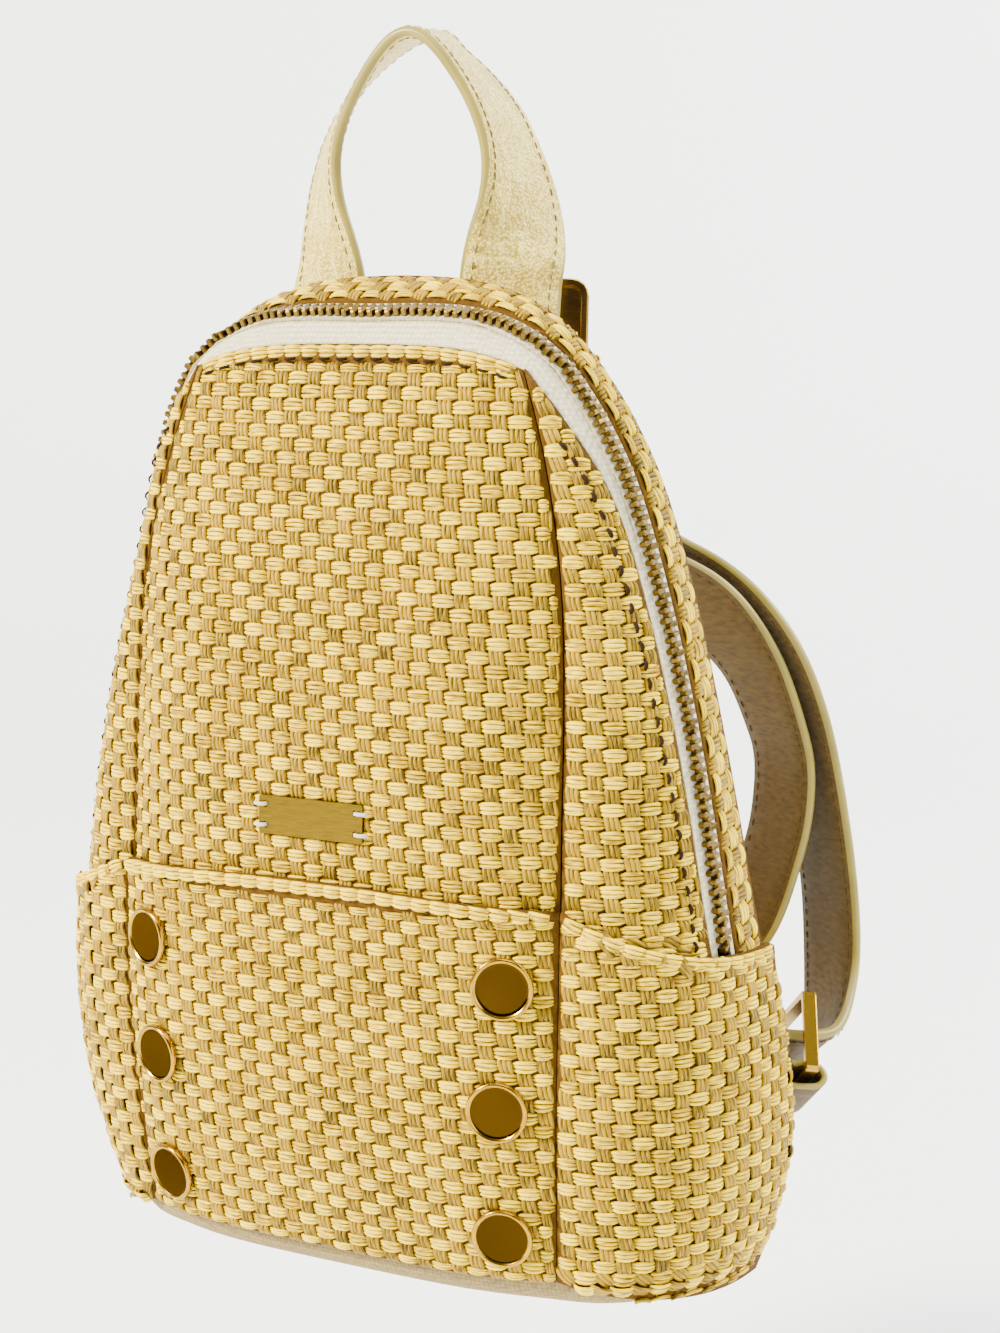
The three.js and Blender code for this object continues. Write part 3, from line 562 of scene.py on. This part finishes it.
def hem_spots(path, way_out, rng, pitch, size=HEM):
    """Spots at an even distance along a panel's edge, where it runs across the cloth."""
    flat = [q for q, r in zip(path, path[1:]) if abs(r.z - q.z) < STEEPEST * max((r - q).length, 1e-6)]
    if len(flat) < 9:
        return []
    near = [flat[max(n - 3, 0):n + 4] for n in range(len(flat))]
    smooth = [sum(group, Vector()) / len(group) for group in near]
    run = run_along(smooth)
    spots = []
    count = max(int(run[-1] / pitch), 1)
    for n in range(count):
        at = (n + 0.5) * run[-1] / count
        a, b = between(smooth, run, at - pitch / 2), between(smooth, run, at + pitch / 2)
        place = (a + b) / 2
        spots.append((place, way_out(place), (b - a).normalized(), size, rng.uniform(0.5, 1)))
    return spots


def top_edge(skin, sights, low, high, drop):
    """The line a small drop below a panel's upper edge."""
    path = []
    for s in sights:
        met = skin.run(lambda t: skin.at(s, t), low, high, SIGHT_STEP)
        if len(met) > 2:
            inner = skin.at(s, met[-1][0] - drop)
            if inner is not None:
                path.append(inner)
    return path


# Sizes and colours that a user would change

class BackpackWeave(bpy.types.PropertyGroup):
    """Sizes of the straw weave."""
    column: bpy.props.FloatProperty(name="Column", description="Width of one warp column", default=5.3 * MM,
                                    unit="LENGTH")
    row: bpy.props.FloatProperty(name="Row", description="Height of one weft row", default=3.6 * MM,
                                 unit="LENGTH")
    rise: bpy.props.FloatProperty(name="Rise", description="How far a float stands out of the cloth",
                                  default=1.15 * MM, unit="LENGTH")
    seed: bpy.props.IntProperty(name="Seed", description="Seed of the uneven strands", default=7)
    weft_light: bpy.props.StringProperty(name="Weft light", description="sRGB hex of the pale floats",
                                         default="FFDC16")
    weft_shade: bpy.props.StringProperty(name="Weft shade",
                                         description="sRGB hex of the floats' darker fibres",
                                         default="967006")
    warp_light: bpy.props.StringProperty(name="Warp light", description="sRGB hex of the warp bundles",
                                         default="AA860A")
    warp_shade: bpy.props.StringProperty(name="Warp shade",
                                         description="sRGB hex of the warp's darker fibres",
                                         default="4C3A02")


class BackpackFittings(bpy.types.PropertyGroup):
    """Sizes of the zip, rivets and stitches."""
    tooth_pitch: bpy.props.FloatProperty(name="Tooth pitch", description="Distance between teeth of one side",
                                         default=2.7 * MM, unit="LENGTH")
    rivet_radius: bpy.props.FloatProperty(name="Rivet radius", description="Outer radius of a rivet cap",
                                          default=8.5 * MM, unit="LENGTH")
    stitch: bpy.props.FloatProperty(name="Stitch", description="Distance between stitches", default=3.4 * MM,
                                    unit="LENGTH")
    stitch_inset: bpy.props.FloatProperty(name="Stitch inset",
                                          description="Stitch line to the leather's edge",
                                          default=1.9 * MM, unit="LENGTH")


class BackpackStage(bpy.types.PropertyGroup):
    """Camera, light and floor."""
    lens: bpy.props.FloatProperty(name="Lens", description="Focal length", default=64.8, unit="CAMERA")
    key: bpy.props.FloatProperty(name="Key light", description="Strength of the window-side light",
                                 default=215.0, unit="POWER")


class StrawPanels(bpy.types.Operator):
    """Weaves the straw panels over the CAD shells"""
    bl_idname = "backpack.straw_panels"
    bl_label = "Straw panels"

    def weave(self, name, cells, way_out, edges=(), fine=True, phase=0):
        """One panel: shaded ground, weft, warp and hem; plain cells have fewer strands than fine ones."""
        sizes = bpy.context.scene.backpack_weave
        rng = np.random.RandomState(sizes.seed + len(name) * 13)
        weft, warp = weave_spots(cells, way_out, rng, sizes.column, sizes.row, phase)
        if not weft or not warp:
            raise RuntimeError(f"{name} got no weave")
        kind = "" if fine else " plain"
        parts = [softened(name, name + "_shell", 1, self.ground),
                 laid(name + "_weft", weft, PARTS["weft" + kind], self.weft),
                 laid(name + "_warp", warp, PARTS["warp" + kind], self.warp)]
        if edges:
            parts.append(laid(name + "_hem", list(edges), PARTS["weft"], self.weft))
        seat(joined(name + "_woven", parts), "straw", name)

    def shapes(self, sizes):
        """The floats and bundles that are laid on the cells."""
        wide, tall, lift = sizes.column / MM, sizes.row / MM, sizes.rise / MM
        length, strand = FLOAT_LENGTH * wide, tall * 0.34
        strand_shape("weft", [hump(length, strand, lift * k, across=a, dive=0.3, twist=w, pinch=0.3)
                              for a, k, w in ((-strand, 0.85, 0.15), (0, 1.0, -0.1), (strand, 0.9, 0.1))])
        strand_shape("weft plain", [hump(length, strand * 1.6, lift * 0.95, across=a, dive=0.3, pinch=0.3)
                                    for a in (-strand * 0.75, strand * 0.75)])
        bundle = BUNDLE_WIDTH * wide / 3
        strand_shape("warp", [hump(tall * 1.5, bundle * 1.3, lift * 0.8, across=a, dive=0.25, turns=3,
                                   twist=1.1) for a in (-bundle, 0.0, bundle)])
        strand_shape("warp plain", [hump(tall * 1.5, bundle * 2.6, lift * 0.6, dive=0.25, turns=3)])

    def execute(self, context):
        sizes = context.scene.backpack_weave
        c, r = sizes.column, sizes.row
        self.ground = straw_ground()
        self.weft = straw_fibre("Woven straw, pale weft", sizes.weft_shade, sizes.weft_light, 1.9)
        self.warp = straw_fibre("Woven straw, twisted warp", sizes.warp_shade, sizes.warp_light, 1.7)
        self.shapes(sizes)
        rng = np.random.RandomState(sizes.seed)

        def forward(place):
            return Vector((0, -1, 0))

        for name, phase in (("front_upper_panel", 0), ("front_lower_panel", 1)):
            skin = Skin(name, from_front)
            low, high = skin.low, skin.high
            top, floor = high.z - 1.5 * r, low.z
            if name == "front_upper_panel":
                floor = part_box("front_lower_panel")[1].z - 2.5 * r
            found = level_lines(skin, low.x, high.x, MM, np.arange(top, floor, -r))
            cells = cloth_rows([[q for _, q in line] for line in found], c, middles(found))
            path = top_edge(skin, np.arange(low.x, high.x, MM), high.z - 14 * MM, high.z + 2 * MM, 1.2 * MM)
            self.weave(name, cells, forward, hem_spots(path, forward, rng, c), phase=phase)

        for side, hand in ((1, "right"), (-1, "left")):
            for level, (aside, deep) in SIDE_AXES.items():
                name, centre = f"side_{level}_{hand}", (side * aside, deep)
                look = from_side(side, centre)
                skin = Skin(name, look)
                low, high = skin.low, skin.high

                def sideways(place):
                    return (place - Vector((*centre, place.z))).normalized()

                if level == "upper":
                    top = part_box("front_upper_panel")[1].z - 1.5 * r
                    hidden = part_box("side_lower_" + hand)[1].z - 7 * r
                    rows = [z for z in np.arange(top, low.z, -r) if z > hidden]
                else:
                    rows = np.arange(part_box("front_lower_panel")[1].z + 2.1 * r, low.z, -r)
                found = level_lines(skin, *SIDE_SWEEP, rows)
                cells = cloth_rows([[q for _, q in line] for line in found], c, [c * 0.5] * len(found))
                edges = []
                if level == "lower":
                    path = top_edge(skin, np.arange(0.05, 2.5, 0.012), low.z, high.z + MM, 1.2 * MM)
                    edges = hem_spots(path, sideways, rng, c)
                self.weave(name, cells, sideways, edges)

        skin = Skin("rear_rim", from_arch(ARCH_AXIS))

        def round_arch(place):
            return (place - Vector((0, place.y, ARCH_AXIS))).normalized()

        strips = [skin.across(a) for a in np.arange(*ARCH_ENDS, 0.012)]
        strips = [[q for _, q in met] for met in strips if len(met) > 4]
        count = max(int(np.median([run_along(met)[-1] for met in strips]) / r), 2)
        measured = [(met, run_along(met)) for met in strips]
        lines = [[between(met, run, run[-1] * (k + 0.5) / count) for met, run in measured]
                 for k in range(count)]
        self.weave("rear_rim", cloth_rows(lines, c, [c * 0.5] * count), round_arch)

        skin = Skin("back_panel", from_back)
        low, high = skin.low, skin.high
        found = level_lines(skin, -high.x, -low.x, MM, np.arange(high.z - 0.6 * r, low.z, -r))
        cells = cloth_rows([[q for _, q in line] for line in found], c, middles(found))
        self.weave("back_panel", cells, lambda place: Vector((0, 1, 0)), fine=False)
        return {"FINISHED"}


class CanvasBase(bpy.types.Operator):
    """Makes the canvas base"""
    bl_idname = "backpack.canvas_base"
    bl_label = "Canvas base"

    def execute(self, context):
        cloth = woven_cloth("Greige canvas", "5E4A22", "A8925A", 1.6, 0.3)
        seat(softened("base_panel", "base_canvas", 1, cloth), "canvas", "base_panel")
        return {"FINISHED"}


class Zip(bpy.types.Operator):
    """Makes the zip: cloth tapes, metal teeth, slider and pull"""
    bl_idname = "backpack.zip"
    bl_label = "Zip"

    def execute(self, context):
        cloth = woven_cloth("Off-white zip tape", "A89A70", "F2E8C4", 1.4, 0.3)
        for node in ("zip_tape_front", "zip_tape_rear"):
            seat(softened(node, node + "_cloth", 2, cloth), "zip_tape", node)
        metal = brass_wear_and_reflection("Antique brass, tumbled", "3C2D0C", "8C712E", 0.34, depth=0.02)
        bed = merged_copy("zip_chain", "zip_bed")
        normals = [v.normal.copy() for v in bed.data.vertices]
        for v, n in zip(bed.data.vertices, normals):
            radial = Vector((v.co.x, 0, v.co.z - ARCH_AXIS)).normalized()
            aside = n - radial * n.dot(radial)
            v.co += aside * BED_WIDEN - (radial * BED_SINK if n.dot(radial) > 0.2 else Vector())
        bed.data.materials.append(cloth)
        bm = bmesh.new()
        bmesh.ops.create_cube(bm, size=1.0)
        bmesh.ops.scale(bm, vec=TOOTH, verts=bm.verts)
        bmesh.ops.bevel(bm, geom=bm.edges, offset=0.35 * MM, segments=1, affect="EDGES")
        data = bpy.data.meshes.new("tooth")
        bm.to_mesh(data)
        bm.free()
        PARTS["tooth"] = bpy.data.objects.new("tooth", data)
        skin = Skin("zip_chain", from_arch(ARCH_AXIS))
        middle, sides = [], {}
        for a in np.arange(*ARCH_ENDS, 0.006):
            met = skin.across(a)
            if len(met) > 4:
                middle.append((a, met[len(met) // 2][1]))
                sides[a] = (met[-1][1] - met[0][1]).normalized()
        steps = even_steps(middle, context.scene.backpack_fittings.tooth_pitch / 2)
        angles = [a for a, _ in middle]
        spots = []
        for n, a in enumerate(steps):
            j = min(max(int(np.searchsorted(angles, a)), 2), len(middle) - 3)
            along = (middle[j + 2][1] - middle[j - 2][1]).normalized()
            across = sides[angles[j]]
            out = along.cross(across).normalized()
            if out.dot(-skin.look(a, 0)[1]) < 0:
                out.negate()
            share = (a - angles[j - 1]) / (angles[j] - angles[j - 1])
            place = middle[j - 1][1].lerp(middle[j][1], share)
            place += across * (TOOTH_ASIDE if n % 2 else -TOOTH_ASIDE)
            spots.append((place - out * TOOTH_SINK, out, along, (1, 1, 1), 0.5))
        teeth = laid("zip_teeth", spots, PARTS["tooth"], metal)
        teeth.data.polygons.foreach_set("use_smooth", np.zeros(len(teeth.data.polygons), bool))
        seat(joined("zip_chain_teeth", [bed, teeth]), "zip_teeth", "zip_chain")
        for node in ("zip_slider", "zip_pull"):
            seat(bevelled(node, node + "_metal", 0.3, metal), "zip_metal", node)
        return {"FINISHED"}


class Rivets(bpy.types.Operator):
    """Turns the six flat rivet caps with their raised rims"""
    bl_idname = "backpack.rivets"
    bl_label = "Rivets"

    def execute(self, context):
        # Painted reflection: the mirror face's brass is nearly black and its tone drifts slowly from cap to
        # cap, standing in for dark surroundings seen in the faces; the grey specular tint keeps their edges
        # dark as well.
        face = brass_wear_and_reflection("Polished brass, mirror face darkened as painted reflection", "1C1202", "4E360A", 0.12, (0.05, 0.05, 0.05), 0.0)
        shader = face.node_tree.nodes["Principled BSDF"].inputs
        shader["Specular Tint"].default_value = (0.5, 0.48, 0.4, 1)
        rim = brass_wear_and_reflection("Polished brass, bright rim", "8A6814", "C89C2C", 0.22, depth=0.004)
        radius = context.scene.backpack_fittings.rivet_radius / MM
        profile = [(radius - 0.6, 0), (radius, 0.45), (radius, 1.45), (radius - 0.25, 1.8),
                   (radius - 0.65, 1.9), (radius - 1.05, 1.75), (radius - 1.25, 1.4), (radius - 2.2, 1.42),
                   (0, 1.45)]
        for node in [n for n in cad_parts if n.startswith("rivet_")]:
            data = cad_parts[node].data
            low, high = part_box(node)
            outward = sum((p.normal * p.area for p in data.polygons if p.normal.y < -0.9), Vector())
            outward.normalize()
            right = Vector((0, 0, 1)).cross(outward).normalized()
            up = outward.cross(right)
            base = (low + high) / 2 - outward * 0.95 * MM
            points = [base]
            faces, indices = [], []
            for d, h in profile[:-1]:
                for k in range(RIVET_TURNS):
                    a = 2 * math.pi * k / RIVET_TURNS
                    points.append(base + (right * math.cos(a) * d + up * math.sin(a) * d + outward * h) * MM)
            points.append(base + outward * profile[-1][1] * MM)
            for k in range(RIVET_TURNS):
                a, b = 1 + k, 1 + (k + 1) % RIVET_TURNS
                faces.append((0, b, a))
                indices.append(1)
                for ring in range(len(profile) - 2):
                    o = ring * RIVET_TURNS
                    faces.append((a + o, b + o, b + o + RIVET_TURNS, a + o + RIVET_TURNS))
                    indices.append(0 if ring > 5 else 1)
                o = (len(profile) - 2) * RIVET_TURNS
                faces.append((a + o, b + o, len(points) - 1))
                indices.append(0)
            cap = mesh_object(node + "_cap", points, faces, (face, rim), indices)
            seat(cap, "rivet_brass", node)
        return {"FINISHED"}


class NamePlate(bpy.types.Operator):
    """Makes the bare brass plate and the four stitches that hold it"""
    bl_idname = "backpack.name_plate"
    bl_label = "Name plate"

    def execute(self, context):
        brass = brass_wear_and_reflection("Satin brass plate", "4E3D0B", "82691C", 0.26, (1, 1, 12), 0.01)
        seat(bevelled("name_plate", "plate_bare", 0.15, brass, 1), "plate_brass", "name_plate")
        cotton = thread("Cream cotton thread", "A89F88", "E8E2D2")
        for node in [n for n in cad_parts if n.startswith("plate_stitch")]:
            seat(softened(node, node + "_thread", 1, cotton), "thread", node)
        return {"FINISHED"}


class Leather(bpy.types.Operator):
    """Makes the handle, straps and tabs with painted edges and their stitches"""
    bl_idname = "backpack.leather"
    bl_label = "Leather"

    def band(self, node, faces_material, edge_material, inset):
        made = merged_copy(node, node + "_hide")
        data = made.data
        data.materials.append(faces_material)
        data.materials.append(edge_material)
        for p in data.polygons:
            corners = [data.vertices[v].co for v in p.vertices]
            p.material_index = 0 if max((a - b).length for a in corners for b in corners) > WIDE_FACE else 1
        self.hold_border(data)
        stitches = self.stitches(made, node, inset) if inset else None
        soft = made.modifiers.new("Rounding", "SUBSURF")
        soft.levels = soft.render_levels = 2
        finish_mesh(made)
        return joined(node + "_leather", [made, stitches]) if stitches else made

    def hold_border(self, data):
        """Creases the line between flat side and painted edge, so that rounding stays on the edge."""
        bm = bmesh.new()
        bm.from_mesh(data)
        layer = bm.edges.layers.float.new("crease_edge")
        for e in bm.edges:
            if len({f.material_index for f in e.link_faces}) == 2:
                e[layer] = 1.0
        bm.to_mesh(data)
        bm.free()

    def stitches(self, made, node, inset):
        """Stitch spots beside both edges of both faces."""
        sizes = bpy.context.scene.backpack_fittings
        bm = bmesh.new()
        bm.from_mesh(made.data)
        border = [e for e in bm.edges if len(e.link_faces) == 2
                  and {f.material_index for f in e.link_faces} == {0, 1}]
        spots = []
        for e in border:
            flat = next(f for f in e.link_faces if f.material_index == 0)
            along = e.verts[1].co - e.verts[0].co
            length = along.length
            if not 1.2 * MM < length < WIDE_FACE:
                continue
            along.normalize()
            inward = flat.normal.cross(along).normalized()
            if (flat.calc_center_median() - e.verts[0].co).dot(inward) < 0:
                inward.negate()
            if abs((flat.calc_center_median() - e.verts[0].co).dot(inward)) < 3 * MM:
                continue
            count = max(round(length / sizes.stitch), 1)
            for n in range(count):
                place = e.verts[0].co + along * length * (n + 0.5) / count + inward * inset
                spots.append((place, flat.normal.copy(), along.copy(), (1, 1, 1), 0.5))
        bm.free()
        return laid(node + "_stitches", spots, PARTS["stitch"], self.threads["handle" in node])

    def execute(self, context):
        pale, greige, paint = pebbled_leather(), split_leather(), painted_edge()
        self.threads = {False: thread("Waxed brown thread", "3A2C12", "6B5630"),
                        True: thread("Waxed olive thread", "5E5022", "8C7C40")}
        strand_shape("stitch", [hump(2.5, 0.6, 0.36, dive=0.1, turns=3)])
        inset = context.scene.backpack_fittings.stitch_inset
        seat(self.band("top_handle", pale, paint, inset * 1.3), "handle_leather", "top_handle")
        for side in ("right", "left"):
            for node, gap in (("shoulder_strap_" + side, inset), ("strap_tab_" + side, 0)):
                seat(self.band(node, greige, paint, gap), "strap_leather", node)
        return {"FINISHED"}


class BrassFittings(bpy.types.Operator):
    """Makes the strap rings and the plate behind the handle's foot"""
    bl_idname = "backpack.brass_fittings"
    bl_label = "Brass fittings"

    def execute(self, context):
        brushed = brass_wear_and_reflection("Brushed brass", "80600F", "BD942C", 0.26, (12, 12, 1), 0.015)
        for side in ("right", "left"):
            ring = bevelled("strap_ring_" + side, "ring_" + side, 0.35, brushed)
            seat(ring, "ring_brass", "strap_ring_" + side)
        bright = brass_wear_and_reflection("Polished brass frame", "8E6C20", "C29A38", 0.24, depth=0.004)
        # Painted reflection: the plate's recessed face gets a darker brass, standing in for the dark that its
        # flat face mirrors, while the bevelled frame stays bright.
        painted_reflection_brass = brass_wear_and_reflection("Brass face darkened as painted reflection", "5A4322", "8A6A38", 0.3, (1, 1, 8), 0.01)
        plate = bevelled("handle_foot_plate", "foot_plate", 0.25, bright)
        plate.data.materials.append(painted_reflection_brass)
        facing = [p for p in plate.data.polygons if p.normal.y < -0.7]
        out = sum((p.normal * p.area for p in facing), Vector()).normalized()
        top = max(p.center.dot(out) for p in facing)
        # Faces sunk more than 0.45 mm below the frame take the darkened brass of the painted reflection.
        for p in facing:
            if p.center.dot(out) < top - 0.45 * MM:
                p.material_index = 1
        seat(plate, "foot_plate_brass", "handle_foot_plate")
        return {"FINISHED"}


class Topstitches(bpy.types.Operator):
    """Sews the dark rows along the top of the front panel and beside the zip"""
    bl_idname = "backpack.topstitches"
    bl_label = "Topstitches"

    def execute(self, context):
        brown = thread("Dark brown sewing thread", "170B01", "2E1A06")
        strand_shape("topstitch", [hump(3.0, 0.9, 0.7, dive=0.1, turns=3)])
        rng = np.random.RandomState(STITCH_SEED)
        pitch = context.scene.backpack_weave.column
        skin = Skin("front_upper_panel", from_front)
        low, high = skin.low, skin.high
        path = top_edge(skin, np.arange(low.x + 2 * MM, high.x - 2 * MM, MM), high.z - 14 * MM,
                        high.z + MM, 3.4 * MM)
        spots = hem_spots(path, lambda place: Vector((0, -1, 0)), rng, pitch, (1.15, 1, 1.6))
        for side, hand in ((1, "right"), (-1, "left")):
            centre = (side * SIDE_AXES["upper"][0], SIDE_AXES["upper"][1])
            skin = Skin("side_upper_" + hand, from_side(side, centre))
            path = []
            for z in np.arange(skin.low.z, skin.high.z, MM):
                met = [q for _, q in skin.run(lambda a: skin.at(a, z), *SIDE_SWEEP)]
                run = run_along(met) if len(met) > 4 else [0]
                if run[-1] > 7 * MM:
                    path.append(between(met, run, run[-1] - SEAM_INSET))
            run = run_along(path)
            for n in range(int(run[-1] / pitch)):
                at = (n + 0.5) * pitch
                place = between(path, run, at)
                out = (place - Vector((*centre, place.z))).normalized()
                along = (between(path, run, at + MM) - place).normalized()
                spots.append((place, out, along, (1.0, 1.5, 1.3), 0.5))
        lifted = [(place + out * STITCH_LIFT, out, *rest) for place, out, *rest in spots]
        seat(laid("topstitches", lifted, PARTS["topstitch"], brown), "thread")
        return {"FINISHED"}


class Stage(bpy.types.Operator):
    """Sets the camera, the lights and a plain pale floor that sweeps up behind"""
    bl_idname = "backpack.stage"
    bl_label = "Stage"

    def lamp(self, name, place, aim, size, power, colour):
        light = bpy.data.lights.new(name, "AREA")
        light.shape, light.size, light.energy, light.color = "DISK", size, power, linear(colour)[:3]
        made = bpy.data.objects.new(name, light)
        made.location = place
        made.rotation_euler = (Vector(aim) - Vector(place)).to_track_quat("-Z", "Y").to_euler()
        bpy.context.scene.collection.objects.link(made)

    def execute(self, context):
        stage = context.scene.backpack_stage
        camera = bpy.data.cameras.new("Camera")
        camera.lens, camera.sensor_width, camera.clip_start = stage.lens, 36.0, 0.01
        eye = bpy.data.objects.new("Camera", camera)
        context.scene.collection.objects.link(eye)
        eye.location = CAMERA_PLACE
        eye.rotation_euler = CAMERA_AIM.to_track_quat("-Z", "Y").to_euler()
        context.scene.camera = eye
        level = Vector((CAMERA_AIM.x, CAMERA_AIM.y, 0)).normalized()
        side = Vector((level.y, -level.x, 0))
        paint, _ = new_material("Matt wall paint", "F6F8F8", 0.9)
        points = [level * d + side * w + Vector((0, 0, h))
                  for d, h in SWEEP_PROFILE for w in (-SWEEP_HALF, SWEEP_HALF)]
        faces = [(2 * i, 2 * i + 1, 2 * i + 3, 2 * i + 2) for i in range(len(SWEEP_PROFILE) - 1)]
        sweep = mesh_object("floor_and_wall", points, faces, (paint,))
        for name, place, size, share, colour in LAMPS:
            self.lamp(name, place, BAG_MIDDLE, size, stage.key * share, colour)
        self.lamp("Wall light", level * 0.2 + side * 1.5 + Vector((0, 0, 0.9)), level * 1.6, 1.2,
                  stage.key * 0.55, "FFFFFF")
        world = bpy.data.worlds.new("Room")
        world.use_nodes = True
        tree = world.node_tree
        seen = add(tree, "ShaderNodeLightPath").outputs["Is Camera Ray"]
        strength = add(tree, "ShaderNodeMapRange", {"Value": seen, "To Min": ROOM_GLOW,
                                                    "To Max": ROOM_SEEN})
        tree.links.new(strength.outputs["Result"], tree.nodes["Background"].inputs["Strength"])
        tree.nodes["Background"].inputs["Color"].default_value = linear("EEF0F0")
        context.scene.world = world
        return {"FINISHED"}


class BackpackPanel(bpy.types.Panel):
    """Lists the backpack's sizes and steps"""
    bl_idname = "VIEW3D_PT_backpack"
    bl_label = "Backpack"
    bl_space_type = "VIEW_3D"
    bl_region_type = "UI"
    bl_category = "Backpack"

    def draw(self, context):
        scene = context.scene
        for group in (scene.backpack_weave, scene.backpack_fittings, scene.backpack_stage):
            box = self.layout.box()
            for key in group.bl_rna.properties.keys():
                if key not in ("rna_type", "name"):
                    box.prop(group, key)
        for step in STEPS:
            self.layout.operator(step.bl_idname)


STEPS = (StrawPanels, CanvasBase, Zip, Rivets, NamePlate, Leather, BrassFittings, Topstitches, Stage)
GROUPS = (BackpackWeave, BackpackFittings, BackpackStage)


def register():
    for kind in (*GROUPS, *STEPS, BackpackPanel):
        bpy.utils.register_class(kind)
    bpy.types.Scene.backpack_weave = bpy.props.PointerProperty(type=BackpackWeave)
    bpy.types.Scene.backpack_fittings = bpy.props.PointerProperty(type=BackpackFittings)
    bpy.types.Scene.backpack_stage = bpy.props.PointerProperty(type=BackpackStage)


def unregister():
    del bpy.types.Scene.backpack_weave, bpy.types.Scene.backpack_fittings, bpy.types.Scene.backpack_stage
    for kind in reversed((*GROUPS, *STEPS, BackpackPanel)):
        bpy.utils.unregister_class(kind)


def main():
    register()
    for step in STEPS:
        getattr(bpy.ops.backpack, step.bl_idname.split(".")[1])()


if __name__ == "__main__":
    main()
